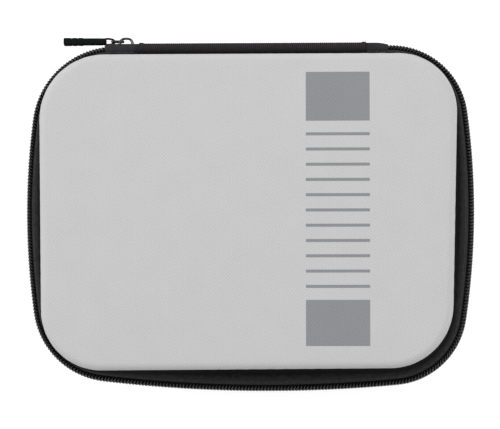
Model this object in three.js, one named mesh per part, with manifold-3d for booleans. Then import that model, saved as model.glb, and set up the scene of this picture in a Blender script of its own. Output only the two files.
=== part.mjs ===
// Semi-rigid zipped carry case for a portable golf launch monitor.
// Millimetres. +Z is up, +Y points to the hinge and the origin is the centre of the flat underside.
// The two moulded halves meet on the zip plane, and the lid opens flat over a two-fold spine.
import * as THREE from 'three';
import { mergeVertices } from 'three/addons/utils/BufferGeometryUtils.js';
import Module from 'manifold-3d';

const wasm = await Module();
wasm.setup();

// Zip line: the outer face of the zip coil, seen from above.
const HALF_WIDTH = 103.1;
const WIDEST_Y = 4;
const BACK_Y = 79.3;
const FRONT_Y = -80.1;
const SIDE_RADIUS = 340;
const FRONT_RADIUS = 644;
const FRONT_PEAK_X = 8;
const BACK_LEFT_RADIUS = 38.5;
const FRONT_LEFT_RADIUS = 36.8;
const FRONT_RIGHT_RADIUS = 35.2;
const BACK_RIGHT_RADIUS = 35.5;

// Panel outline: the seam between the flat panel and the side fabric.
// Each corner has the two edges that it would reach if it were square, and a radius.
const PANEL_BACK_Y = 72.85;
const PANEL_CORNERS = [
  { x: -95, y: PANEL_BACK_Y, radius: 29.5 },
  { x: -93.9, y: -71, radius: 27.6 },
  { x: 92.8, y: -70.1, radius: 28.8 },
  { x: 94.8, y: PANEL_BACK_Y, radius: 26.5 },
];

// Heights are measured away from the zip plane, upwards in the lid and downwards in the base.
const HALF_HEIGHT = 27;
const LID_CROWN = 1;
const EDGE_FILLET = 3.5;
const COVE_START = 5;
const COVE_INSET = 3;
const COVE_POWER = 2.2;
const SHELL_RIM = 3.4;
const WALL_HEIGHTS = [9, 13.5, 17.5];

// Layers of the wall, as depths below its outer surface, with a small gap between layers.
const GAP = 0.3;
const COVER = 1;
const SHELL_OUT = COVER + GAP;
const SHELL_IN = SHELL_OUT + 3;
const LINING_OUT = SHELL_IN + GAP;
const LINING_IN = LINING_OUT + 0.6;
const PIPING_HALF = 0.6;
const PIPING_PROUD = 0.35;

// Zip chain.
const CHAIN_CLEARANCE = 0.8;
const COIL_DEPTH = 2.1;
const COIL_HEIGHT = 3.1;
const TAPE_OUT = 2.3;
const TAPE_IN = 3.1;
const TAPE_HEIGHT = 4.5;
const BINDING_OUT = 5.9;
const BINDING_IN = 8.2;
const BINDING_HEIGHT = 3.1;
const BASE_CHAIN_START_X = -57.7;
const LID_CHAIN_START = THREE.MathUtils.degToRad(94);
const CHAIN_END_X = 57.8;
const START_STOP = { left: 54.2, right: 57.5, front: BACK_Y - 3.4, back: BACK_Y + 0.4, radius: 0.6 };
const START_STOP_HALF_HEIGHT = 2.7;
const END_STOP = { left: -57.4, right: -55.8, front: BACK_Y - 2.1, back: BACK_Y - 0.6, radius: 0.4 };
const END_STOP_HEIGHT = 2.9;

// Spine.
const SPINE_LEFT = -50.9;
const SPINE_RIGHT = 53.6;
const SPINE_OUT_Y = 80.1;
const SPINE_THICKNESS = 1.2;
const FOLD_HALF = 6;
const FLAP_TOP = 20.8;
const FLAP_THICKNESS = 0.9;
const FLAP_SETBACK = 0.1;
const FLAP_END_Y = PANEL_BACK_Y + 1.3;
const FLAP_BEND = 1.4;
const FLAP_STEPS = 4;
const SPINE_LINING_OUT_Y = 77.6;
const SPINE_LINING_THICKNESS = 0.7;
const SPINE_LINING_TRIM = 0.5;

// Slider and pull.
const CROWN_X = -57.4;
const CROWN_BASE_Y = 80.35;
const CROWN_HALF_LENGTH = 3.5;
const CROWN_HEIGHT = 2.9;
const CROWN_HALF_WIDTH = 1.35;
const CROWN_WALL = 0.75;
const CROWN_RIGHT_FOOT_Y = 79.65;
const OUTER_PLATE = { inner: 0.35, outer: 0.85, from: -14.4, to: -0.4, halfHeight: 3.2 };
const SLIDER_NECK = { inner: -4.3, outer: 0.7, from: -10, to: -4.5, halfHeight: 0.5 };
const INNER_PLATE = { inner: -4.7, outer: -3.9, from: -11.5, to: -1, halfHeight: 2.3 };
const PIN_X = -58.7;
const PULL_Y = 81.6;
const PULL_Z = 26;
const LINK_END_X = -64;
const LINK_BAR_HALF = 0.42;
const LINK_HALF_WIDTH = 2.1;
const CORD_RADIUS = 0.5;
const CORD_REACH = 1.4;
const CORD_TURN = 2.5;
const GRIP_START_X = -66.7;
const GRIP_END_X = -86;
const GRIP_THICKNESS = 3.5;
const GRIP_NECK_HALF_WIDTH = 2.1;
const GRIP_TAIL_HALF_WIDTH = 3.4;
const GRIP_TAIL_SWELL = 0.2;
const GRIP_TAIL_LENGTH = 4;

// Foam insert, from the lining up.
const FOAM_BOTTOM = 5.5;
const FOAM_SPLIT = 7.8;
const FOAM_TOP = 24;
const DEVICE_BAY = { left: -80, right: 24, front: -34, back: 50, radius: 9 };
const TRIPOD_BAY = { left: 36, right: 76, front: -52, back: 52, radius: 9 };
const CABLE_BAY = { left: -76, right: 24, front: -60, back: -49, radius: 5 };
const SCOOP_RADIUS = 9;
const FOAM_FLOOR_GAP = 0.2;
const FOAM_WALL_GAP = 0.9;

// Mesh pocket under the lid.
const NET_HEIGHT = 13.5;
const NET_HALF_THICKNESS = 0.35;
const HEM_WIDTH = 6;
const HEM_HALF_THICKNESS = 0.9;
const HEM_END_GAP = 0.6;
const POCKET_TAPE_WIDTH = 1.6;
const POCKET_TAPE_HALF_HEIGHT = 1.2;

// Sampling of every outline, so that all rings match point for point.
const CORNER_STEPS = 6;
const SIDE_STEPS = [3, 4, 3, 2];
const OUTER_EDGE_TURNS = [15, 45, 90];
const INNER_EDGE_TURNS = [32, 90];
const CROWN_SCALES = [0.7, 0.35];

const LID = { up: 1, edge: HALF_HEIGHT - LID_CROWN, crown: LID_CROWN };
const BASE = { up: -1, edge: HALF_HEIGHT, crown: 0 };

const material = (color, roughness, metalness = 0) => (
  new THREE.MeshStandardMaterial({ color, roughness, metalness })
);
const MATERIALS = {
  panel: material(0xc8c8c8, 0.85),
  side: material(0x242426, 0.85),
  trim: material(0x1a1a1c, 0.8),
  webbing: material(0x2b2a2d, 0.85),
  coil: material(0x2f2f31, 0.5),
  tape: material(0x161617, 0.9),
  eva: material(0x202124, 0.9),
  tricot: material(0x2a2b2e, 0.95),
  net: material(0x1d1d1f, 0.8),
  foam: material(0x33353a, 0.95),
  metal: material(0x2c2c2e, 0.35, 1),
  rubber: material(0x18181a, 0.6),
};

// ---- outlines ---------------------------------------------------------------------------------

const vec = (x, y) => new THREE.Vector2(x, y);

function arcPoint(arc, t, inset) {
  const angle = arc.from + (arc.to - arc.from) * t;
  const radius = arc.radius - inset;
  return vec(arc.x + radius * Math.cos(angle), arc.y + radius * Math.sin(angle));
}

function mirrorArc(arc) {
  return { x: -arc.x, y: arc.y, radius: arc.radius, from: Math.PI - arc.to, to: Math.PI - arc.from };
}

// The left corner circle that touches the side circle and the front circle from inside.
function tangentCorner(side, front, radius) {
  const sideReach = side.radius - radius;
  const frontReach = front.radius - radius;
  const apart = Math.hypot(front.x - side.x, front.y - side.y);
  const along = (sideReach ** 2 - frontReach ** 2 + apart ** 2) / (2 * apart);
  const across = Math.sqrt(sideReach ** 2 - along ** 2);
  const ux = (front.x - side.x) / apart;
  const uy = (front.y - side.y) / apart;
  return { x: side.x + along * ux - across * uy, y: side.y + along * uy + across * ux, radius };
}

function angleBetween(from, to) {
  return (Math.atan2(to.y - from.y, to.x - from.x) + 2 * Math.PI) % (2 * Math.PI);
}

// The left half of the zip line; the right half is the mirror of another one.
function makeZipHalf(backRadius, frontRadius, frontX) {
  const side = { x: SIDE_RADIUS - HALF_WIDTH, y: WIDEST_Y, radius: SIDE_RADIUS };
  const front = { x: frontX, y: FRONT_Y + FRONT_RADIUS, radius: FRONT_RADIUS };
  const backY = BACK_Y - backRadius;
  const reach = SIDE_RADIUS - backRadius;
  const backX = side.x - Math.sqrt(reach ** 2 - (backY - side.y) ** 2);
  const backCorner = { x: backX, y: backY, radius: backRadius, from: Math.PI / 2 };
  const frontCorner = tangentCorner(side, front, frontRadius);
  backCorner.to = angleBetween(side, backCorner);
  side.from = backCorner.to;
  side.to = angleBetween(side, frontCorner);
  frontCorner.from = side.to;
  frontCorner.to = angleBetween(front, frontCorner);
  return { backCorner, side, frontCorner, front };
}

function makeZipOutline() {
  const left = makeZipHalf(BACK_LEFT_RADIUS, FRONT_LEFT_RADIUS, FRONT_PEAK_X);
  const right = makeZipHalf(BACK_RIGHT_RADIUS, FRONT_RIGHT_RADIUS, -FRONT_PEAK_X);
  const front = { ...left.front, from: left.frontCorner.to, to: 3 * Math.PI - right.frontCorner.to };
  return {
    corners: [left.backCorner, left.frontCorner, mirrorArc(right.frontCorner), mirrorArc(right.backCorner)],
    sides: [left.side, front, mirrorArc(right.side), null],
  };
}

// The direction, from either centre, of the point where two circles' shared outer tangent touches.
function tangentTurn(circle, next) {
  const apart = Math.hypot(next.x - circle.x, next.y - circle.y);
  const turn = angleBetween(circle, next) - Math.acos((circle.radius - next.radius) / apart);
  return (turn + 2 * Math.PI) % (2 * Math.PI);
}

function makePanelOutline() {
  const circles = PANEL_CORNERS.map(({ x, y, radius }) => (
    { x: x - Math.sign(x) * radius, y: y - Math.sign(y) * radius, radius }
  ));
  const turns = circles.map((circle, index) => tangentTurn(circle, circles[(index + 1) % 4]));
  const corners = circles.map((circle, index) => {
    const from = turns[(index + 3) % 4];
    const to = turns[index] < from ? turns[index] + 2 * Math.PI : turns[index];
    return { ...circle, from, to };
  });
  return { corners, sides: [null, null, null, null] };
}

const ZIP = makeZipOutline();
const PANEL = makePanelOutline();
const SLIDER_CENTRE = ZIP.corners[0];
const PANEL_CENTRE = vec(0, 1);

// One closed ring of points, anticlockwise from above, starting at the back left corner.
function outlineRing(outline, inset) {
  const ring = [];
  outline.corners.forEach((corner, index) => {
    for (let k = 0; k <= CORNER_STEPS; k += 1) {
      ring.push(arcPoint(corner, k / CORNER_STEPS, inset));
    }
    const side = outline.sides[index];
    const start = arcPoint(corner, 1, inset);
    const end = arcPoint(outline.corners[(index + 1) % 4], 0, inset);
    for (let k = 1; k < SIDE_STEPS[index]; k += 1) {
      const t = k / SIDE_STEPS[index];
      ring.push(side ? arcPoint(side, t, inset) : start.clone().lerp(end, t));
    }
  });
  return ring;
}

const RING_SIZE = outlineRing(ZIP, 0).length;
const LEFT_SIDE_FRONT = CORNER_STEPS + SIDE_STEPS[0];
const RIGHT_SIDE_FRONT = RING_SIZE - SIDE_STEPS[3] - LEFT_SIDE_FRONT;

// ---- wall and panel rings ---------------------------------------------------------------------

const seamHeight = (half) => half.edge - EDGE_FILLET;
const lift = (half, height) => HALF_HEIGHT + half.up * height;
const at = (ring, z) => ring.map((p) => new THREE.Vector3(p.x, p.y, z));

// How far the wall has drawn in from the zip line (0) to the panel outline (1).
function coveBlend(half, height) {
  const t = THREE.MathUtils.clamp((height - COVE_START) / (seamHeight(half) - COVE_START), 0, 1);
  return 1 - (1 - t) ** COVE_POWER;
}

function wallOutline(half, depth, height) {
  const blend = coveBlend(half, height);
  const zipRing = outlineRing(ZIP, COVE_INSET + depth);
  const panelRing = outlineRing(PANEL, depth);
  return zipRing.map((p, index) => p.clone().lerp(panelRing[index], blend));
}

const wallRing = (half, depth, height) => at(wallOutline(half, depth, height), lift(half, height));

// A ring on the rounded edge between wall and panel: turn 0 is the wall, 90 degrees the panel.
function edgeRing(half, depth, degrees) {
  const turn = THREE.MathUtils.degToRad(degrees);
  const inset = depth + EDGE_FILLET * (1 - Math.cos(turn));
  const height = half.edge - depth - EDGE_FILLET * (1 - Math.sin(turn));
  return at(outlineRing(PANEL, inset), lift(half, height));
}

function panelRing(half, depth, scale) {
  const ring = outlineRing(PANEL, depth + EDGE_FILLET);
  const height = half.edge - depth + half.crown * (1 - scale ** 2);
  return at(ring.map((p) => p.clone().sub(PANEL_CENTRE).multiplyScalar(scale).add(PANEL_CENTRE)),
    lift(half, height));
}

const panelApex = (half, depth) => (
  new THREE.Vector3(PANEL_CENTRE.x, PANEL_CENTRE.y, lift(half, half.edge - depth + half.crown))
);

// ---- meshing ----------------------------------------------------------------------------------

function signedVolume(points, faces) {
  let volume = 0;
  for (const [a, b, c] of faces) {
    volume += points[a].dot(points[b].clone().cross(points[c])) / 6;
  }
  return volume;
}

function meshGeometry(points, faces) {
  const outward = signedVolume(points, faces) > 0;
  const index = faces.flatMap(([a, b, c]) => (outward ? [a, b, c] : [a, c, b]));
  const geometry = new THREE.BufferGeometry();
  geometry.setAttribute('position', new THREE.Float32BufferAttribute(points.flatMap((p) => p.toArray()), 3));
  geometry.setIndex(index);
  geometry.computeVertexNormals();
  return geometry;
}

// Joins two neighbouring rings. Each four-sided patch is split along its shorter diagonal, so that
// the facing surfaces of two layers fold the same way and keep their gap.
function bridge(points, faces, first, second, size, closed) {
  const last = closed ? size : size - 1;
  for (let k = 0; k < last; k += 1) {
    const next = (k + 1) % size;
    const [a, b, c, d] = [first + k, first + next, second + next, second + k];
    if (points[a].distanceTo(points[c]) < points[b].distanceTo(points[d])) {
      faces.push([a, b, c], [a, c, d]);
    } else {
      faces.push([a, b, d], [b, c, d]);
    }
  }
}

// Rings joined one to the next and the last to the first: a hoop such as a piping or a band.
function hoop(rings) {
  const size = rings[0].length;
  const points = rings.flat();
  const faces = [];
  rings.forEach((ring, index) => {
    bridge(points, faces, index * size, ((index + 1) % rings.length) * size, size, true);
  });
  return meshGeometry(points, faces);
}

// Rings closed by a point at each end: a dish, tray or block.
function dish(firstApex, rings, lastApex) {
  const size = rings[0].length;
  const points = rings.flat();
  const faces = [];
  for (let index = 0; index < rings.length - 1; index += 1) {
    bridge(points, faces, index * size, (index + 1) * size, size, true);
  }
  const first = points.push(firstApex) - 1;
  const last = points.push(lastApex) - 1;
  const tail = (rings.length - 1) * size;
  for (let k = 0; k < size; k += 1) {
    const next = (k + 1) % size;
    faces.push([first, next, k], [last, tail + k, tail + next]);
  }
  return meshGeometry(points, faces);
}

// Open rails side by side, closed across both ends: a strip that stops and starts.
function strip(rails) {
  const size = rails[0].length;
  const points = rails.flat();
  const faces = [];
  rails.forEach((rail, index) => {
    bridge(points, faces, index * size, ((index + 1) % rails.length) * size, size, false);
  });
  for (let k = 1; k < rails.length - 1; k += 1) {
    faces.push([0, k * size, (k + 1) * size]);
    faces.push([size - 1, (k + 1) * size + size - 1, k * size + size - 1]);
  }
  return meshGeometry(points, faces);
}

function prism(shape, low, high, curveSegments = 4) {
  const options = { depth: high - low, bevelEnabled: false, curveSegments };
  return new THREE.ExtrudeGeometry(shape, options).translate(0, 0, low);
}

const SECTION_ALONG_X = new THREE.Matrix4().makeBasis(
  new THREE.Vector3(0, 1, 0),
  new THREE.Vector3(0, 0, 1),
  new THREE.Vector3(1, 0, 0),
);

// A section drawn in (y, z) and swept along X.
function sweepX(points, left, right) {
  return prism(new THREE.Shape(points), left, right).applyMatrix4(SECTION_ALONG_X);
}

function roundedBox({ left, right, front, back, radius }) {
  const shape = new THREE.Shape();
  shape.absarc(right - radius, back - radius, radius, 0, Math.PI / 2);
  shape.absarc(left + radius, back - radius, radius, Math.PI / 2, Math.PI);
  shape.absarc(left + radius, front + radius, radius, Math.PI, 1.5 * Math.PI);
  shape.absarc(right - radius, front + radius, radius, 1.5 * Math.PI, 2 * Math.PI);
  return shape;
}

function toSolid(geometry) {
  const bare = geometry.clone();
  bare.deleteAttribute('normal');
  bare.deleteAttribute('uv');
  const merged = mergeVertices(bare);
  const vertProperties = new Float32Array(merged.attributes.position.array);
  const triVerts = new Uint32Array(merged.index.array);
  return new wasm.Manifold(new wasm.Mesh({ numProp: 3, vertProperties, triVerts }));
}

function toGeometry(solid) {
  const mesh = solid.getMesh();
  const geometry = new THREE.BufferGeometry();
  geometry.setAttribute('position', new THREE.BufferAttribute(new Float32Array(mesh.vertProperties), 3));
  geometry.setIndex(new THREE.BufferAttribute(new Uint32Array(mesh.triVerts), 1));
  geometry.computeVertexNormals();
  return geometry;
}

// ---- layers of one half -----------------------------------------------------------------------

function moulding(half, outer, inner) {
  const straight = (depth) => WALL_HEIGHTS.filter((height) => height < seamHeight(half) - depth - 1);
  const walls = (depth) => straight(depth).map((height) => wallRing(half, depth, height));
  const rim = (depth) => [wallRing(half, depth, SHELL_RIM), wallRing(half, depth, COVE_START)];
  const edges = (depth) => [0, 45, 90].map((turn) => edgeRing(half, depth, turn));
  const outside = [...rim(outer), ...walls(outer), ...edges(outer)];
  const inside = [...rim(inner), ...walls(inner), ...edges(inner)];
  return dish(panelApex(half, outer), [...outside.reverse(), ...inside], panelApex(half, inner));
}

function sideFabric(half) {
  const top = seamHeight(half) - PIPING_HALF - GAP;
  const heights = [COVE_START, ...WALL_HEIGHTS, top];
  const outside = heights.map((height) => wallRing(half, 0, height));
  const inside = heights.map((height) => wallRing(half, COVER, height)).reverse();
  return hoop([...outside, ...inside]);
}

function panelFabric(half) {
  const scales = half.crown ? CROWN_SCALES : [];
  const crownRings = (depth) => scales.map((scale) => panelRing(half, depth, scale));
  const outside = [...OUTER_EDGE_TURNS.map((turn) => edgeRing(half, 0, turn)), ...crownRings(0)];
  const inside = [...INNER_EDGE_TURNS.map((turn) => edgeRing(half, COVER, turn)), ...crownRings(COVER)];
  return dish(panelApex(half, 0), [...outside.reverse(), ...inside], panelApex(half, COVER));
}

function piping(half) {
  const middle = seamHeight(half);
  const corner = (inset, height) => at(outlineRing(PANEL, inset), lift(half, height));
  return hoop([
    corner(-PIPING_PROUD, middle),
    corner(PIPING_HALF - PIPING_PROUD, middle + PIPING_HALF),
    corner(2 * PIPING_HALF - PIPING_PROUD, middle),
    corner(PIPING_HALF - PIPING_PROUD, middle - PIPING_HALF),
  ]);
}

function binding(half) {
  const corner = (inset, height) => at(outlineRing(ZIP, inset), lift(half, height));
  return hoop([
    corner(BINDING_OUT, CHAIN_CLEARANCE),
    corner(BINDING_OUT, BINDING_HEIGHT),
    corner(BINDING_IN, BINDING_HEIGHT),
    corner(BINDING_IN, CHAIN_CLEARANCE),
  ]);
}

// ---- zip --------------------------------------------------------------------------------------

// The line of the chain at one inset: from beside the slider round to the stop by the spine.
function chainLine(half, inset) {
  const ring = outlineRing(ZIP, inset).slice(0, RING_SIZE - SIDE_STEPS[3] + 1);
  const end = vec(CHAIN_END_X, BACK_Y - inset);
  if (half === BASE) {
    return [vec(BASE_CHAIN_START_X, BACK_Y - inset), ...ring, end];
  }
  const radius = BACK_LEFT_RADIUS - inset;
  const start = vec(SLIDER_CENTRE.x + radius * Math.cos(LID_CHAIN_START),
    SLIDER_CENTRE.y + radius * Math.sin(LID_CHAIN_START));
  return [start, ...ring.slice(1), end];
}

function chainBand(half, outer, inner, low, high) {
  return strip([
    at(chainLine(half, outer), lift(half, low)),
    at(chainLine(half, outer), lift(half, high)),
    at(chainLine(half, inner), lift(half, high)),
    at(chainLine(half, inner), lift(half, low)),
  ]);
}

function startStop() {
  const low = HALF_HEIGHT - START_STOP_HALF_HEIGHT;
  return prism(roundedBox(START_STOP), low, HALF_HEIGHT + START_STOP_HALF_HEIGHT, 2);
}

function endStop() {
  return prism(roundedBox(END_STOP), HALF_HEIGHT - END_STOP_HEIGHT, HALF_HEIGHT - CHAIN_CLEARANCE, 2);
}

// ---- spine ------------------------------------------------------------------------------------

function spineFlap(half) {
  const outer = [];
  const inner = [];
  for (let k = 0; k <= FLAP_STEPS; k += 1) {
    const t = k / FLAP_STEPS;
    const height = THREE.MathUtils.lerp(FOLD_HALF, FLAP_TOP, t);
    const y = THREE.MathUtils.lerp(SPINE_OUT_Y - FLAP_SETBACK, FLAP_END_Y, 1 - (1 - t) ** FLAP_BEND);
    outer.push(vec(y, lift(half, height)));
    inner.unshift(vec(y - FLAP_THICKNESS, lift(half, height)));
  }
  return sweepX([...outer, ...inner], SPINE_LEFT, SPINE_RIGHT);
}

function spineBand(outerY, thickness, halfHeight, trim) {
  const low = HALF_HEIGHT - halfHeight;
  const high = HALF_HEIGHT + halfHeight;
  const innerY = outerY - thickness;
  const section = [vec(outerY, low), vec(outerY, high), vec(innerY, high), vec(innerY, low)];
  return sweepX(section, SPINE_LEFT + trim, SPINE_RIGHT - trim);
}

function spineLining() {
  const halfHeight = FOLD_HALF - 2 * GAP;
  return spineBand(SPINE_LINING_OUT_Y, SPINE_LINING_THICKNESS, halfHeight, SPINE_LINING_TRIM);
}

// ---- slider and pull --------------------------------------------------------------------------

// A piece of a ring about the corner's centre. Its radii are measured from the zip line, and its
// angles run from the back towards the left.
function sector({ inner, outer, from, to, halfHeight }) {
  const start = Math.PI / 2 + THREE.MathUtils.degToRad(from);
  const end = Math.PI / 2 + THREE.MathUtils.degToRad(to);
  const shape = new THREE.Shape();
  shape.absarc(SLIDER_CENTRE.x, SLIDER_CENTRE.y, BACK_LEFT_RADIUS + outer, start, end, false);
  shape.absarc(SLIDER_CENTRE.x, SLIDER_CENTRE.y, BACK_LEFT_RADIUS + inner, end, start, true);
  return prism(shape, HALF_HEIGHT - halfHeight, HALF_HEIGHT + halfHeight);
}

function sliderBody() {
  const [outerPlate, neck, innerPlate] = [OUTER_PLATE, SLIDER_NECK, INNER_PLATE].map(
    (piece) => toSolid(sector(piece)),
  );
  return toGeometry(outerPlate.add(neck).add(innerPlate));
}

// A half loop that stands on the outer plate, drawn from above.
function sliderCrown() {
  const shape = new THREE.Shape();
  const outer = CROWN_HALF_LENGTH;
  const inner = CROWN_HALF_LENGTH - CROWN_WALL;
  const outerY = CROWN_BASE_Y + CROWN_HEIGHT;
  const innerY = outerY - CROWN_WALL;
  shape.moveTo(CROWN_X + outer, CROWN_RIGHT_FOOT_Y);
  shape.lineTo(CROWN_X + outer, CROWN_BASE_Y);
  shape.quadraticCurveTo(CROWN_X + outer, outerY, CROWN_X, outerY);
  shape.quadraticCurveTo(CROWN_X - outer, outerY, CROWN_X - outer, CROWN_BASE_Y);
  shape.lineTo(CROWN_X - inner, CROWN_BASE_Y);
  shape.quadraticCurveTo(CROWN_X - inner, innerY, CROWN_X, innerY);
  shape.quadraticCurveTo(CROWN_X + inner, innerY, CROWN_X + inner, CROWN_BASE_Y);
  shape.lineTo(CROWN_X + inner, CROWN_RIGHT_FOOT_Y);
  return prism(shape, PULL_Z - CROWN_HALF_WIDTH, PULL_Z + CROWN_HALF_WIDTH, 5);
}

// A rectangular wire loop: its near bar is the pin in the crown, its far bar holds the cord.
function pullLink() {
  const bar = LINK_BAR_HALF;
  const wide = LINK_HALF_WIDTH;
  const outline = (grow) => [
    vec(PIN_X + grow, wide + grow), vec(LINK_END_X - grow, wide + grow),
    vec(LINK_END_X - grow, -wide - grow), vec(PIN_X + grow, -wide - grow),
  ];
  const ring = (grow, y) => outline(grow).map((p) => new THREE.Vector3(p.x, y, PULL_Z + p.y));
  return hoop([ring(-bar, PULL_Y - bar), ring(bar, PULL_Y - bar), ring(bar, PULL_Y + bar),
    ring(-bar, PULL_Y + bar)]);
}

function pullCord() {
  const point = (x, y) => new THREE.Vector3(x, PULL_Y + y, PULL_Z);
  const startX = GRIP_START_X + GAP;
  const turnX = LINK_END_X + CORD_TURN;
  const extrudePath = new THREE.CubicBezierCurve3(point(startX, CORD_REACH), point(turnX, CORD_REACH),
    point(turnX, -CORD_REACH), point(startX, -CORD_REACH));
  const section = new THREE.Shape();
  section.absarc(0, 0, CORD_RADIUS, 0, 2 * Math.PI);
  return new THREE.ExtrudeGeometry(section, { extrudePath, steps: 8, curveSegments: 4 });
}

function pullGrip() {
  const tailX = GRIP_END_X + GRIP_TAIL_LENGTH;
  const swell = GRIP_TAIL_HALF_WIDTH + GRIP_TAIL_SWELL;
  const shape = new THREE.Shape();
  shape.moveTo(GRIP_START_X, -GRIP_NECK_HALF_WIDTH);
  shape.lineTo(GRIP_START_X, GRIP_NECK_HALF_WIDTH);
  shape.lineTo(tailX, GRIP_TAIL_HALF_WIDTH);
  shape.quadraticCurveTo(GRIP_END_X, swell, GRIP_END_X, 0);
  shape.quadraticCurveTo(GRIP_END_X, -swell, tailX, -GRIP_TAIL_HALF_WIDTH);
  const flat = prism(shape, -GRIP_THICKNESS / 2, GRIP_THICKNESS / 2);
  return flat.rotateX(Math.PI / 2).translate(0, PULL_Y, PULL_Z);
}

// ---- inside -----------------------------------------------------------------------------------

function foamBottomLayer() {
  const ring = outlineRing(PANEL, LINING_IN + EDGE_FILLET + FOAM_FLOOR_GAP);
  const middle = (z) => new THREE.Vector3(PANEL_CENTRE.x, PANEL_CENTRE.y, z);
  return dish(middle(FOAM_BOTTOM), [at(ring, FOAM_BOTTOM), at(ring, FOAM_SPLIT)], middle(FOAM_SPLIT));
}

function scoop(y) {
  const shape = new THREE.Shape();
  const middle = (DEVICE_BAY.left + DEVICE_BAY.right) / 2;
  shape.absarc(middle, y, SCOOP_RADIUS, 0, 2 * Math.PI);
  return shape;
}

function foamTopLayer() {
  const depth = LINING_IN + FOAM_WALL_GAP;
  const low = FOAM_SPLIT + GAP;
  const heights = [HALF_HEIGHT - low, ...[...WALL_HEIGHTS].reverse(), COVE_START, HALF_HEIGHT - FOAM_TOP];
  const rings = heights.map((height) => wallRing(BASE, depth, height));
  const middle = (z) => new THREE.Vector3(PANEL_CENTRE.x, PANEL_CENTRE.y, z);
  let solid = toSolid(dish(middle(low), rings, middle(FOAM_TOP)));
  const cuts = [roundedBox(DEVICE_BAY), roundedBox(TRIPOD_BAY), roundedBox(CABLE_BAY),
    scoop(DEVICE_BAY.back), scoop(DEVICE_BAY.front)];
  for (const cut of cuts) {
    solid = solid.subtract(toSolid(prism(cut, low - 1, FOAM_TOP + 1)));
  }
  return toGeometry(solid);
}

// The back and both sides of a ring, from the right side's front end round to the left side's.
const threeSides = (ring) => [...ring.slice(RIGHT_SIDE_FRONT), ...ring.slice(0, LEFT_SIDE_FRONT + 1)];

function pocketBinding() {
  const rail = (depth, height) => at(threeSides(wallOutline(LID, depth, height)), lift(LID, height));
  const out = LINING_IN + GAP;
  const inner = out + POCKET_TAPE_WIDTH;
  const low = NET_HEIGHT - POCKET_TAPE_HALF_HEIGHT;
  const high = NET_HEIGHT + POCKET_TAPE_HALF_HEIGHT;
  return strip([rail(out, low), rail(out, high), rail(inner, high), rail(inner, low)]);
}

const NET_DEPTH = LINING_IN + 2 * GAP + POCKET_TAPE_WIDTH + 0.1;
const netOutline = () => threeSides(wallOutline(LID, NET_DEPTH, NET_HEIGHT));

function pocketNet() {
  const low = lift(LID, NET_HEIGHT - NET_HALF_THICKNESS);
  return prism(new THREE.Shape(netOutline()), low, low + 2 * NET_HALF_THICKNESS);
}

function pocketHem() {
  const outline = netOutline();
  const rightEnd = outline[0];
  const leftEnd = outline[outline.length - 1];
  const back = Math.min(leftEnd.y, rightEnd.y) - GAP;
  const box = {
    left: leftEnd.x + HEM_END_GAP,
    right: rightEnd.x - HEM_END_GAP,
    front: back - HEM_WIDTH,
    back,
    radius: 0.8,
  };
  const low = lift(LID, NET_HEIGHT - HEM_HALF_THICKNESS);
  return prism(roundedBox(box), low, low + 2 * HEM_HALF_THICKNESS, 2);
}

// ---- assembly ---------------------------------------------------------------------------------

const group = new THREE.Group();

function addBody(parts) {
  const body = new THREE.Group();
  for (const [name, geometry, finish] of parts) {
    const mesh = new THREE.Mesh(geometry, finish);
    mesh.name = name;
    body.add(mesh);
  }
  group.add(body);
}

function halfParts(half, word) {
  return [
    [`${word}_shell`, moulding(half, SHELL_OUT, SHELL_IN), MATERIALS.eva],
    [`${word}_panel_fabric`, panelFabric(half), MATERIALS.panel],
    [`${word}_side_fabric`, sideFabric(half), MATERIALS.side],
    [`${word}_piping`, piping(half), MATERIALS.trim],
    [`${word}_lining`, moulding(half, LINING_OUT, LINING_IN), MATERIALS.tricot],
    [`${word}_binding`, binding(half), MATERIALS.trim],
    [`${word}_zip_coil`, chainBand(half, 0, COIL_DEPTH, CHAIN_CLEARANCE, COIL_HEIGHT), MATERIALS.coil],
    [`${word}_zip_tape`, chainBand(half, TAPE_OUT, TAPE_IN, CHAIN_CLEARANCE, TAPE_HEIGHT), MATERIALS.tape],
    [`${word}_spine_flap`, spineFlap(half), MATERIALS.webbing],
  ];
}

addBody([
  ...halfParts(BASE, 'base'),
  ['foam_bottom_layer', foamBottomLayer(), MATERIALS.foam],
  ['foam_top_layer', foamTopLayer(), MATERIALS.foam],
  ['zip_start_stop', startStop(), MATERIALS.metal],
  ['zip_end_stop', endStop(), MATERIALS.metal],
]);

addBody([
  ...halfParts(LID, 'lid'),
  ['mesh_pocket_net', pocketNet(), MATERIALS.net],
  ['mesh_pocket_binding', pocketBinding(), MATERIALS.trim],
  ['mesh_pocket_hem', pocketHem(), MATERIALS.trim],
]);

addBody([
  ['spine_strip', spineBand(SPINE_OUT_Y, SPINE_THICKNESS, FOLD_HALF - GAP, 0), MATERIALS.webbing],
  ['spine_lining', spineLining(), MATERIALS.tricot],
]);

addBody([
  ['slider_body', sliderBody(), MATERIALS.metal],
  ['slider_crown', sliderCrown(), MATERIALS.metal],
  ['pull_link', pullLink(), MATERIALS.metal],
  ['pull_cord', pullCord(), MATERIALS.rubber],
  ['pull_grip', pullGrip(), MATERIALS.rubber],
]);

export default group;
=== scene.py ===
import math

import bmesh
import bpy
import numpy as np
from mathutils import Matrix, Vector


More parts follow.
